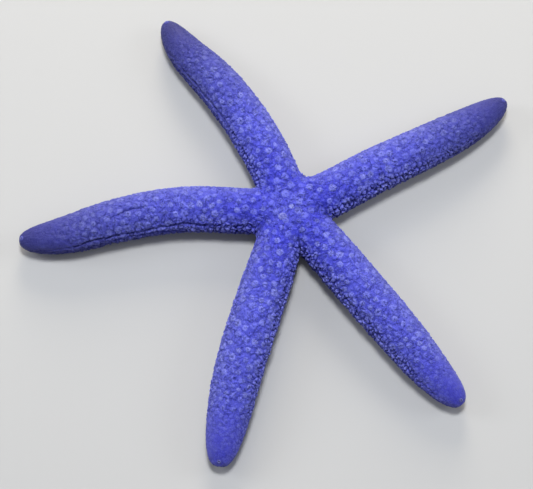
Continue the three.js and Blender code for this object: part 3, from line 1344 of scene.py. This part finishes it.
# How a point's place on an arm is found.
COARSE = 10
FIND_STEPS = 4
LEAST_SIZE = 0.18
ARM_SHIFT = 400
UNDER_HOLD = 0.7
UNDER_LEVEL = -0.75

# The room round the grooves and the mouth that has their finish, and the furthest depth that counts.
EDGE_ROOM = 0.25
ROOF_ROOM = 0.3
FAR = 2.0

# How the long creases wander and fade.
CREASE_WAVES = ((0.07, 0.16, 2.1), (0.04, 0.43, 1.0))
CREASE_FADE = 0.03
CREASE_FADE_SLOPE = 0.3
FAINT_CREASE_GAP = 0.6


def between(values: np.ndarray, limits: tuple[float, float]) -> np.ndarray:
    """How far values are on the way from one limit to the other, from 0 to 1."""
    low, high = limits
    return np.clip((values - low) / (high - low), 0, 1)


@dataclass
class BodySkin:
    """The one skin over the disc and all five arms, with the grooves and the mouth open below."""

    inset: float = 0.36
    sides: int = 48
    rings: int = 70
    dome_radius: float = 19.0
    mouth_radius: float = 4.6
    mouth_depth: float = 7.5
    mouth_room: float = 0.4
    eye_opening: float = 1.1
    eye_lift: float = 0.5
    vent_place: tuple[float, float] = (1.2, -0.5)
    vent_radius: float = 1.15
    vent_marks: tuple[float, float] = (3.4, 1.0)
    furthest: float = 4.0
    cutter_voxel: float = 0.35
    cutter_rings: int = 40
    cutter_sides: int = 20
    voxel: float = 0.42
    soft_radii: tuple[float, float] = (36.0, 24.0)
    soft_levels: tuple[float, float] = (4.0, 8.0)
    soft_shares: int = 10
    soft_factor: float = 0.7
    soft_rounds: int = 60
    triangles: int = 190000

    def stations(self, arm: Arm) -> list[float]:
        """Distances along an arm, closer together towards its end."""
        return [arm.length * math.sin(math.pi / 2 * index / self.rings) for index in range(self.rings)]

    def dome_point(self, co: Vector) -> Vector:
        """Where a point of a unit sphere goes on the low dome in the disc's middle."""
        up = co.z
        power = 2 / (SECTION.upper_squareness if up >= 0 else SECTION.lower_squareness)
        part = 1 - SECTION.side_level if up >= 0 else SECTION.side_level
        reach = SECTION.disc_height * part - self.inset
        flat = max(1 - up * up, 0.0) ** 0.5
        radius = (self.dome_radius - self.inset) * flat**power
        turn = math.atan2(co.y, co.x)
        level = SECTION.disc_height * SECTION.side_level + reach * signed_power(up, power)
        return Vector((radius * math.cos(turn), radius * math.sin(turn), level))

    def solids(self) -> list[bpy.types.Object]:
        """The arms' tubes and the disc's dome, each a closed shell."""
        made = []
        for arm in ARMS:
            bm = bmesh.new()
            surface = partial(arm.surface, inset=self.inset)
            sweep(bm, self.stations(arm), self.sides, surface)
            bmesh.ops.recalc_face_normals(bm, faces=bm.faces)
            made.append(mesh_object(f"tube_{arm.letter}", bm))
        bm = bmesh.new()
        bmesh.ops.create_uvsphere(bm, u_segments=64, v_segments=40, radius=1.0)
        for vert in bm.verts:
            vert.co = self.dome_point(vert.co)
        made.append(mesh_object("dome", bm))
        return made

    def cutter(self) -> bpy.types.Object:
        """The grooves, the mouth and the openings for the eye spots as one closed solid."""
        bm = bmesh.new()
        count = self.cutter_rings
        for arm in ARMS:
            stations = [(arm.length - GROOVE.stop) * index / count for index in range(count + 1)]
            sweep(bm, stations, self.cutter_sides, arm.groove)
        ball = bmesh.ops.create_uvsphere(bm, u_segments=32, v_segments=20, radius=1.0)["verts"]
        half = (self.mouth_depth + GROOVE.below) / 2
        bmesh.ops.scale(bm, vec=(self.mouth_radius, self.mouth_radius, half), verts=ball)
        bmesh.ops.translate(bm, vec=(0, 0, half - GROOVE.below), verts=ball)
        for arm in ARMS:
            radius = self.eye_opening
            hole = bmesh.ops.create_uvsphere(bm, u_segments=20, v_segments=14, radius=radius)
            distance = arm.length - GROOVE.stop
            place = arm.place(distance, 0, arm.rise_at(distance) + self.eye_lift)
            bmesh.ops.scale(bm, vec=(1, 1, 2), verts=hole["verts"])
            bmesh.ops.translate(bm, vec=place, verts=hole["verts"])
        bmesh.ops.recalc_face_normals(bm, faces=bm.faces)
        made = mesh_object("groove_cutter", bm)
        modify(made, "REMESH", mode="VOXEL", voxel_size=self.cutter_voxel)
        return made

    def fused(self) -> bpy.types.Object:
        """All the shells, cut by the grooves and fused into one even skin, still in millimetres."""
        cutter = self.cutter()
        joined = bmesh.new()
        for solid in self.solids():
            modify(solid, "BOOLEAN", operation="DIFFERENCE", solver="EXACT", object=cutter)
            joined.from_mesh(solid.data)
            remove(solid)
        remove(cutter)
        skin = mesh_object("body_skin", joined)
        modify(skin, "REMESH", mode="VOXEL", voxel_size=self.voxel)
        return skin

    def soften(self, skin: bpy.types.Object) -> None:
        """Rounds the creases where the arms meet on top of the disc."""
        co = read_vectors(skin.data)
        radius = np.hypot(co[:, 0], co[:, 1])
        weight = between(radius, self.soft_radii) * between(co[:, 2], self.soft_levels)
        group = skin.vertex_groups.new(name="soft")
        for step in range(1, self.soft_shares + 1):
            chosen = np.nonzero(np.round(weight * self.soft_shares) == step)[0]
            group.add(chosen.tolist(), step / self.soft_shares, "REPLACE")
        rounds = self.soft_rounds
        modify(skin, "SMOOTH", factor=self.soft_factor, iterations=rounds, vertex_group="soft")

    def crease_gap(self, arm: Arm, distance: np.ndarray, angle: np.ndarray) -> np.ndarray:
        """How far points of an arm are from its nearest crease.

        Args:
            arm: The arm.
            distance: The points' distances along it.
            angle: Their angles round it.

        Returns:
            The gaps, in millimetres.
        """
        nearest = np.full(len(distance), LAYOUT.crease_room)
        share = distance / arm.length
        for index, crease in enumerate(arm.creases):
            waves = (reach * np.sin(rate * distance + lag * index) for reach, rate, lag in CREASE_WAVES)
            wander = sum(waves)
            gap = np.abs(angle - math.radians(crease.angle) - wander) * arm.half
            past = np.maximum(crease.start - share, share - crease.end)
            gap += np.clip(past + CREASE_FADE, 0, None) * arm.length * CREASE_FADE_SLOPE
            gap += FAINT_CREASE_GAP * (1 - crease.strength)
            nearest = np.minimum(nearest, gap)
        return nearest

    def inside_groove(
        self, arm: Arm, distance: np.ndarray, left: np.ndarray, level: np.ndarray
    ) -> np.ndarray:
        """How far inside an arm's groove points are.

        Args:
            arm: The arm.
            distance: The points' distances along it.
            left: Their offsets to its left.
            level: Their levels above its underside.

        Returns:
            The depths in millimetres, less than 0 outside the groove.
        """
        late = between(distance / arm.length, (GROOVE.shrink_start, 1.0))
        open_half = GROOVE.half + (GROOVE.end_half - GROOVE.half) * late + EDGE_ROOM
        open_depth = GROOVE.depth + (GROOVE.end_depth - GROOVE.depth) * late + ROOF_ROOM
        past_end = distance - (arm.length - GROOVE.stop + ROOF_ROOM)
        inside = np.minimum(open_half - np.abs(left), -past_end)
        return np.where(level < open_depth, np.clip(inside, -FAR, FAR), -FAR)

    def rough_sheen_on(self, arm: Arm, share: np.ndarray, angle: np.ndarray) -> tuple[np.ndarray, np.ndarray]:
        """How rough an arm's skin is, and how smooth it is with painted sheen.

        Args:
            arm: The arm.
            share: The points' shares of its length.
            angle: Their angles round it.

        Returns:
            Two numbers from 0 to 1 for each point.
        """
        side = np.abs(angle - math.pi / 2)
        own = np.where(angle < math.pi / 2, arm.rough[0], arm.rough[1])
        rough = own * between(side, LAYOUT.flank)
        # painted sheen over the smoother flank, rising down from the top
        hazy = (1 - own) * between(side, LAYOUT.painted_sheen)
        smoother = LAYOUT.smoother_share * min(arm.grey, 1.0)
        rough *= 1 - smoother * between(share, LAYOUT.smoother)
        low = between(side, LAYOUT.low)
        return np.maximum(rough, LAYOUT.low_rough * low), hazy * (1 - low)

    def lie_on(self, arm: Arm, co: np.ndarray) -> tuple[np.ndarray, ...]:
        """Where points lie on an arm.

        Args:
            arm: The arm.
            co: The points, one row each.

        Returns:
            How far off the arm each point is, and its lay, zone, and roughness with painted sheen.
        """
        spots = np.linspace(0, arm.length, arm.steps + 1)
        line = np.array([tuple(point) for point in arm.points])
        shapes = (arm.half_width_at, arm.height_at, arm.rise_at, arm.heading_at)
        half, tall, rise, turn = (np.array([shape(s) for s in spots]) for shape in shapes)
        size = np.maximum(half / arm.half, LEAST_SIZE)
        strides = np.diff(spots) * 2 / (size[1:] + size[:-1])
        stretch = np.concatenate([[0], np.cumsum(strides)])
        gaps = ((co[:, None, :2] - line[None, ::COARSE]) ** 2).sum(-1)
        distance = gaps.argmin(1) * COARSE * arm.length / arm.steps
        for _ in range(FIND_STEPS):
            middle = np.stack([np.interp(distance, spots, line[:, axis]) for axis in (0, 1)], -1)
            heading = np.interp(distance, spots, turn)
            ahead = np.stack([np.cos(heading), np.sin(heading)], -1)
            delta = co[:, :2] - middle
            distance = np.clip(distance + (delta * ahead).sum(1), 0, arm.length)
        left = delta[:, 1] * ahead[:, 0] - delta[:, 0] * ahead[:, 1]
        width = np.maximum(np.interp(distance, spots, half), 1.0)
        depth = np.maximum(np.interp(distance, spots, tall) / 2, 1.0)
        lift = np.interp(distance, spots, rise)
        level = co[:, 2] - lift - SECTION.side_level * 2 * depth
        off = (delta**2).sum(1) / width**2 + (level / depth) ** 2
        angle = np.arctan2(level * width / depth, left)
        angle = np.where(angle < -math.pi / 2, angle + 2 * math.pi, angle)
        share = distance / arm.length
        held = np.clip(np.abs(left), 0, UNDER_HOLD * width)
        low_side = math.pi / 2 + np.arctan2(-level * width / depth, held)
        side = np.where(level < UNDER_LEVEL * depth, low_side, np.abs(angle - math.pi / 2))
        inside = self.inside_groove(arm, distance, left, co[:, 2] - lift)
        along = np.interp(distance, spots, stretch) + ARM_SHIFT * ARMS.index(arm)
        around = (angle - math.pi / 2) * arm.half
        rough, hazy = self.rough_sheen_on(arm, share, angle)
        lay = np.stack([along, around, arm.grey * between(share, LAYOUT.grey)], -1)
        rough_sheen = np.stack([rough, hazy, self.crease_gap(arm, distance, angle)], -1)
        return off, lay, np.stack([share, side, inside], -1), rough_sheen

    def map_places(self, skin: bpy.types.Object) -> None:
        """Writes on each vertex where it lies on its arm, for the pattern to follow."""
        co = read_vectors(skin.data)
        best = np.full(len(co), np.inf)
        lay, zone, rough_sheen = (np.zeros((len(co), 3)) for _ in range(3))
        for arm in ARMS:
            off, *found = self.lie_on(arm, co)
            closer = off < best
            best = np.where(closer, off, best)
            for kept, values in zip((lay, zone, rough_sheen), found):
                kept[closer] = values[closer]
        radius = np.hypot(co[:, 0], co[:, 1])
        mouth = np.clip(self.mouth_radius + self.mouth_room - radius, -FAR, FAR)
        mouth[co[:, 2] > self.mouth_depth + self.mouth_room] = -FAR
        zone[:, 2] = np.maximum(zone[:, 2], mouth)
        rough_sheen[:, :2] *= between(radius, LAYOUT.disc_edge)[:, None]
        for name, values in zip((LAY, ZONE, REST, ROUGH_SHEEN), (lay, zone, co, rough_sheen)):
            write_vectors(skin.data, name, values)

    def row_plates(self) -> list[Plate]:
        """The marginal plates: two rows along each flank of each arm."""
        draw = random.Random(LAYOUT.seed + 2)
        made = []
        for arm in ARMS:
            for flank in Flank:
                for angle in LAYOUT.row_angles:
                    distance = LAYOUT.row_start
                    while distance < arm.length * LAYOUT.row_end:
                        size = arm.half_width_at(distance) / arm.half
                        turn = angle if flank is Flank.LEFT else math.pi - angle
                        turn += draw.uniform(*LAYOUT.row_sway)
                        radius = LAYOUT.row_radius * size * draw.uniform(*LAYOUT.row_sizes)
                        made.append((arm.surface(distance, turn, self.inset), radius))
                        step = LAYOUT.row_pitch * max(size, LAYOUT.row_least)
                        distance += step * draw.uniform(*LAYOUT.row_gaps)
        return made

    def top_plates(self, co: np.ndarray, zone: np.ndarray, taken: list[Plate]) -> list[Plate]:
        """The plates on top, thrown down in a seeded order and kept where there is room.

        Args:
            co: The skin's points.
            zone: The points' places on the arms.
            taken: The plates that are already there.

        Returns:
            The new plates.
        """
        draw = random.Random(LAYOUT.seed)
        above = zone[:, 1] < math.pi / 2 - LAYOUT.top_field_from
        order = np.nonzero(above & (zone[:, 2] < 0))[0].tolist()
        draw.shuffle(order)
        pitch = LAYOUT.plate_spacing
        grid: dict[tuple[int, ...], list[Vector]] = {}

        def cell(point: Vector) -> tuple[int, ...]:
            """The grid cell that a point is in."""
            return tuple(int(value // pitch) for value in point)

        def crowded(point: Vector, spacing: float) -> bool:
            """True where another plate is too near."""
            home = cell(point)
            for step in NEIGHBOURS:
                near = grid.get(tuple(map(sum, zip(home, step))), ())
                if any((point - other).length < spacing for other in near):
                    return True
            return False

        for middle, _ in taken:
            grid.setdefault(cell(middle), []).append(middle)
        made = []
        for index in order[: LAYOUT.throws]:
            point = Vector(co[index])
            size = lerp(1.0, LAYOUT.end_size, smoothstep(zone[index, 0], *LAYOUT.shrink))
            if crowded(point, pitch * size * draw.uniform(*LAYOUT.plate_room)):
                continue
            grid.setdefault(cell(point), []).append(point)
            made.append((point, draw.uniform(*LAYOUT.plate_radius) * size))
        return made

    def map_plates(self, skin: bpy.types.Object) -> None:
        """Writes on each vertex how many radii it is from the nearest plate's middle."""
        co = read_vectors(skin.data)
        zone = read_vectors(skin.data, ZONE)
        off = np.hypot(co[:, 0] - self.vent_place[0], co[:, 1] - self.vent_place[1])
        off[co[:, 2] < SECTION.disc_height / 2] = np.inf
        vent = Vector(co[int(off.argmin())])
        plates = [(vent, self.vent_radius), *self.row_plates()]
        plates += self.top_plates(co, zone, plates)
        draw = random.Random(LAYOUT.seed + 1)
        marks = [(draw.random(), draw.random()) for _ in plates]
        marks[0] = self.vent_marks
        tree = KDTree(len(plates))
        for index, (middle, _) in enumerate(plates):
            tree.insert(middle, index)
        tree.balance()
        values = np.empty((len(co), 3))
        for index, point in enumerate(co.tolist()):
            _, found, gap = tree.find(point)
            values[index] = (min(gap / plates[found][1], self.furthest), *marks[found])
        write_vectors(skin.data, PLATE, values)
        log.info("%d plates", len(plates))

    def build(self) -> bpy.types.Object:
        """Builds the skin, in metres and in the frame's own place."""
        skin = self.fused()
        self.soften(skin)
        self.map_places(skin)
        self.map_plates(skin)
        skin.data.transform(frame_matrix())
        modify(skin, "NODES", node_group=relief_group())
        modify(skin, "DECIMATE", ratio=self.triangles / (2 * len(skin.data.polygons)))
        skin.data.polygons.foreach_set("use_smooth", [True] * len(skin.data.polygons))
        return skin

    def dress(self, skin: bpy.types.Object) -> None:
        """Gives the skin its finish, and lets it stand for the nodes of flesh."""
        skin.data.materials.clear()
        skin.data.materials.append(SkinFinish().make())
        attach(skin, "root")
        lengths = [f"arm_{arm.letter}_{part}" for arm in ARMS for part in ("base", "middle", "tip")]
        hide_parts("disc", *lengths)


# ---------------------------------------------------------------- small parts


def node_middle(name: str) -> Vector:
    """The middle of a node's box, in millimetres from the disc's middle."""
    low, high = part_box(name)
    return frame_matrix().inverted() @ ((Vector(low) + Vector(high)) / 2)


@dataclass
class Madreporite:
    """The sieve plate beside the disc's middle, cut by fine furrows that wind out from its centre."""

    radius: float = 1.95
    height: float = 0.85
    sunk: float = 0.12
    furrows: int = 15
    furrow_depth: float = 0.14
    wander_scale: float = 2.2
    wander: float = 9.0
    narrow: float = 0.92
    bare_middle: tuple[float, float] = (0.08, 0.3)
    edge_power: float = 0.3

    def build(self) -> None:
        """Builds and dresses the plate."""
        bm = bmesh.new()
        bmesh.ops.create_uvsphere(bm, u_segments=132, v_segments=40, radius=1.0)
        layer = bm.verts.layers.float_vector.new(OWN)
        for vert in bm.verts:
            unit = vert.co.copy()
            out = math.hypot(unit.x, unit.y)
            wander = self.wander * noise.noise(self.wander_scale * unit)
            cut = 0.5 + 0.5 * math.cos(self.furrows * math.atan2(unit.y, unit.x) + wander)
            cut *= smoothstep(out, *self.bare_middle) * max(unit.z, 0.0) ** self.edge_power
            vert.co.x *= self.radius
            vert.co.y *= self.radius * self.narrow
            vert.co.z = self.height * unit.z - self.furrow_depth * cut
            vert[layer] = (unit.x * self.radius, unit.y * self.radius, 1 - cut)
        top = node_middle("madreporite")
        top.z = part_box("madreporite")[1][2] / MM - self.height - self.sunk
        bmesh.ops.translate(bm, vec=top, verts=bm.verts)
        settle("madreporite_plate", bm, MadreporiteFinish().make(), "madreporite", "madreporite")


@dataclass
class TerminalPlates:
    """The small plate with a pore at each arm's end: a tilted lens, half sunk in the skin."""

    size: tuple[float, float, float] = (1.15, 1.15, 0.5)
    pore_radius: float = 0.38
    pore_depth: float = 0.5
    rim: float = 0.93
    arc: int = 12
    sides: int = 28
    tilt: float = math.radians(37)

    def profile(self) -> list[tuple[float, float]]:
        """The plate's outline, from the bottom of its pore over its rim to its underside."""
        points = [(0.0, 1 - self.pore_depth), (self.pore_radius * 0.7, 1 - self.pore_depth * 0.85)]
        points += [(self.pore_radius, self.rim), (self.pore_radius * 1.5, 0.975)]
        start = math.acos(self.rim)
        turns = [start + (math.pi - start) * index / self.arc for index in range(1, self.arc)]
        points += [(math.sin(turn), math.cos(turn)) for turn in turns]
        return points + [(0.0, -1.0)]

    def build(self) -> None:
        """Builds and dresses the five plates."""
        material = TerminalFinish().make()
        for arm in ARMS:
            node = f"arm_{arm.letter}_terminal_plate"
            bm = turned_profile(self.profile(), self.sides)
            bmesh.ops.scale(bm, vec=self.size, verts=bm.verts)
            keep_own_place(bm)
            turn = Matrix.Rotation(arm.heading_at(arm.length), 4, "Z")
            lean = Matrix.Rotation(self.tilt, 4, "Y")
            place = Matrix.Translation(node_middle(node)) @ turn @ lean
            bmesh.ops.transform(bm, matrix=place, verts=bm.verts)
            settle(f"terminal_plate_{arm.letter}", bm, material, "terminal_plate", node)


@dataclass
class EyeSpots:
    """The red eye spot under each arm's end."""

    radius: float = 0.72
    cups: int = 9
    cup_depth: float = 0.05

    def build(self) -> None:
        """Builds and dresses the five eye spots."""
        material = EyeFinish().make()
        for arm in ARMS:
            node = f"arm_{arm.letter}_eye"
            bm = bmesh.new()
            bmesh.ops.create_icosphere(bm, subdivisions=4, radius=1.0)
            for vert in bm.verts:
                bead = math.cos(self.cups * vert.co.x) * math.cos(self.cups * vert.co.y)
                vert.co *= self.radius * (1 + self.cup_depth * bead)
            keep_own_place(bm)
            bmesh.ops.translate(bm, vec=node_middle(node), verts=bm.verts)
            settle(f"eye_spot_{arm.letter}", bm, material, "eye_spot", node)


@dataclass
class TubeFeet:
    """Two rows of tube feet in each groove, drawn in so that they clear the floor."""

    start: float = 7.5
    end_gap: float = 6.5
    pitch: float = 1.85
    row: float = 0.47
    clearance: float = 0.35
    roll: float = 0.12
    nod: float = 0.16
    sizes: tuple[float, float] = (0.9, 1.04)

    def foot(self) -> bmesh.types.BMesh:
        """One foot: a stalk that ends below in a cupped sucker."""
        profile = [(0.0, 0.22), (0.2, 0.12), (0.4, 0.0), (0.5, 0.1), (0.46, 0.3), (0.3, 0.48)]
        profile += [(0.29, 1.1), (0.34, 2.0), (0.4, 2.9), (0.42, 3.5), (0.25, 3.7), (0.0, 3.72)]
        bm = turned_profile(profile, 12)
        keep_own_place(bm)
        return bm

    def places(self, arm: Arm) -> list[Matrix]:
        """Where an arm's feet stand."""
        draw = random.Random(ord(arm.letter))
        made = []
        for flank in Flank:
            distance = self.start + (0.5 * self.pitch if flank is Flank.LEFT else 0.0)
            while distance < arm.length - self.end_gap:
                half, depth = arm.groove_size(distance)
                size = depth / GROOVE.depth
                level = self.clearance * size + arm.rise_at(distance)
                foot = arm.place(distance, flank.value * half * self.row, level)
                lean = Matrix.Rotation(draw.uniform(-self.roll, self.roll), 4, "X")
                lean = lean @ Matrix.Rotation(draw.uniform(-self.nod, self.nod), 4, "Y")
                scale = Matrix.Scale(size * draw.uniform(*self.sizes), 4)
                made.append(Matrix.Translation(foot) @ lean @ scale)
                distance += self.pitch * max(size, 0.5)
        return made

    def build(self) -> None:
        """Builds and dresses the feet, arm by arm."""
        material = FeetFinish().make()
        for arm in ARMS:
            settle(f"tube_feet_{arm.letter}", copies(self.foot(), self.places(arm)), material)


@dataclass
class FurrowSpines:
    """The short blunt spines along both edges of each groove, and round the mouth."""

    start: float = 6.5
    end_gap: float = 4.5
    pitch: float = 0.8
    set_in: float = 0.42
    clearance: float = 0.12
    sizes: tuple[float, float] = (0.9, 1.1)
    lean: float = math.radians(38)
    sway: float = 0.12
    mouth_ring: float = 3.0
    mouth_level: float = 0.25
    mouth_lean: float = math.radians(48)
    mouth_scale: float = 1.5
    mouth_count: int = 8
    mouth_spread: float = math.radians(24)

    def spine(self) -> bmesh.types.BMesh:
        """One spine: a flattened peg with a round end, pointing down."""
        profile = [(0.0, 0.0), (0.16, 0.05), (0.27, 0.24), (0.3, 0.7), (0.3, 1.2), (0.0, 1.3)]
        bm = turned_profile(profile, 8)
        bmesh.ops.scale(bm, vec=(1.15, 0.8, 1.0), verts=bm.verts)
        keep_own_place(bm)
        return bm

    def places(self, arm: Arm) -> list[Matrix]:
        """Where an arm's spines stand."""
        draw = random.Random(ord(arm.letter) + 100)
        made = []
        for flank in Flank:
            distance = self.start
            while distance < arm.length - self.end_gap:
                half, depth = arm.groove_size(distance)
                size = 0.5 + 0.5 * depth / GROOVE.depth
                side = flank.value * (half - self.set_in * size)
                foot = arm.place(distance, side, self.clearance + arm.rise_at(distance))
                turn = Matrix.Rotation(arm.heading_at(distance), 4, "Z")
                lean = -flank.value * (self.lean + draw.uniform(-self.sway, self.sway))
                turn = turn @ Matrix.Rotation(lean, 4, "X")
                scale = Matrix.Scale(size * draw.uniform(*self.sizes), 4)
                made.append(Matrix.Translation(foot) @ turn @ scale)
                distance += self.pitch * size
        return made

    def mouth_places(self) -> list[Matrix]:
        """Where the spines round the mouth stand, in a group between each two arms."""
        made = []
        headings = [arm.heading for arm in ARMS]
        for index, heading in enumerate(headings):
            gap = (headings[index - 1] - heading) % 360
            middle = math.radians(heading + gap / 2)
            for step in range(self.mouth_count):
                turn = middle + self.mouth_spread * (step / (self.mouth_count - 1) - 0.5) * 2
                place = Matrix.Rotation(turn, 4, "Z")
                place = place @ Matrix.Translation((self.mouth_ring, 0, self.mouth_level))
                place = place @ Matrix.Rotation(self.mouth_lean, 4, "Y")
                made.append(place @ Matrix.Scale(self.mouth_scale, 4))
        return made

    def build(self) -> None:
        """Builds and dresses the spines, arm by arm and then round the mouth."""
        material = SpineFinish().make()
        for arm in ARMS:
            settle(f"furrow_spines_{arm.letter}", copies(self.spine(), self.places(arm)), material)
        settle("mouth_spines", copies(self.spine(), self.mouth_places()), material)


# ---------------------------------------------------------------- the studio


@dataclass(frozen=True)
class Lamp:
    """A square soft light that faces the model. Lengths are metres, and power is watts."""

    name: str
    place: tuple[float, float, float]
    size: float
    power: float
    color: tuple[float, float, float]

    def build(self) -> None:
        """Adds the light to the scene."""
        data = bpy.data.lights.new(self.name, "AREA")
        data.size = self.size
        data.energy = self.power
        data.color = self.color
        lamp = bpy.data.objects.new(self.name, data)
        lamp.location = self.place
        lamp.rotation_euler = (-Vector(self.place)).to_track_quat("-Z", "Y").to_euler()
        bpy.context.scene.collection.objects.link(lamp)


COOL = (0.92, 0.95, 1.0)
LAMPS = (
    Lamp("key", (0.0, 0.3, 1.33), 0.3, 13.4, (0.96, 0.98, 1.0)),
    Lamp("left", (-1.0, 0.25, 0.6), 0.4, 3.0, COOL),
    Lamp("right", (1.0, 0.15, 0.6), 0.4, 2.2, COOL),
    Lamp("back", (0.0, 1.1, 0.45), 0.5, 10.0, (1.0, 0.9, 0.72)),
)


@dataclass
class Studio:
    """The floor, the lights, the surroundings and the camera. Lengths are metres."""

    floor_half: float = 3.0
    floor_tone: float = 0.52
    floor_roughness: float = 0.9
    floor_specular: float = 0.5
    sky: Color = (0.9, 0.93, 1.0, 1.0)
    sky_strength: float = 0.27
    elevation: float = math.radians(72)
    distance: float = 0.8
    aim: tuple[float, float, float] = (0.0001, -0.0051, 0.008)
    lens: float = 120.1
    sensor: float = 36.0
    far: float = 20.0

    def floor(self) -> None:
        """A wide pale floor."""
        bm = bmesh.new()
        bmesh.ops.create_grid(bm, x_segments=1, y_segments=1, size=self.floor_half)
        made = mesh_object("floor", bm)
        material, _, shader = new_material("floor", self.floor_roughness, self.floor_specular)
        shader.inputs["Base Color"].default_value = (*(self.floor_tone,) * 3, 1.0)
        made.data.materials.append(material)

    def surroundings(self) -> None:
        """The even light that comes from everywhere."""
        world = bpy.data.worlds.new("studio")
        world.use_nodes = True
        background = world.node_tree.nodes["Background"]
        background.inputs["Color"].default_value = self.sky
        background.inputs["Strength"].default_value = self.sky_strength
        bpy.context.scene.world = world

    def camera(self) -> None:
        """The camera, which looks down on the animal from a little in front of it."""
        data = bpy.data.cameras.new("camera")
        data.lens = self.lens
        data.sensor_width = self.sensor
        data.clip_end = self.far
        back = Vector((0, -math.cos(self.elevation), math.sin(self.elevation)))
        camera = bpy.data.objects.new("camera", data)
        camera.location = Vector(self.aim) + back * self.distance
        camera.rotation_euler = back.to_track_quat("Z", "Y").to_euler()
        bpy.context.scene.collection.objects.link(camera)
        bpy.context.scene.camera = camera

    def build(self) -> None:
        """Sets up the studio."""
        self.floor()
        for lamp in LAMPS:
            lamp.build()
        self.surroundings()
        self.camera()
        bpy.context.scene.view_settings.view_transform = "Standard"


def main() -> None:
    """Builds the sea star and its studio, piece by piece."""
    logging.basicConfig(level=logging.INFO, format="%(message)s")
    Studio().build()
    body = BodySkin()
    skin = body.build()
    body.dress(skin)
    log.info("%s: %d faces", skin.name, len(skin.data.polygons))
    Madreporite().build()
    TerminalPlates().build()
    EyeSpots().build()
    TubeFeet().build()
    FurrowSpines().build()


if __name__ == "__main__":
    main()
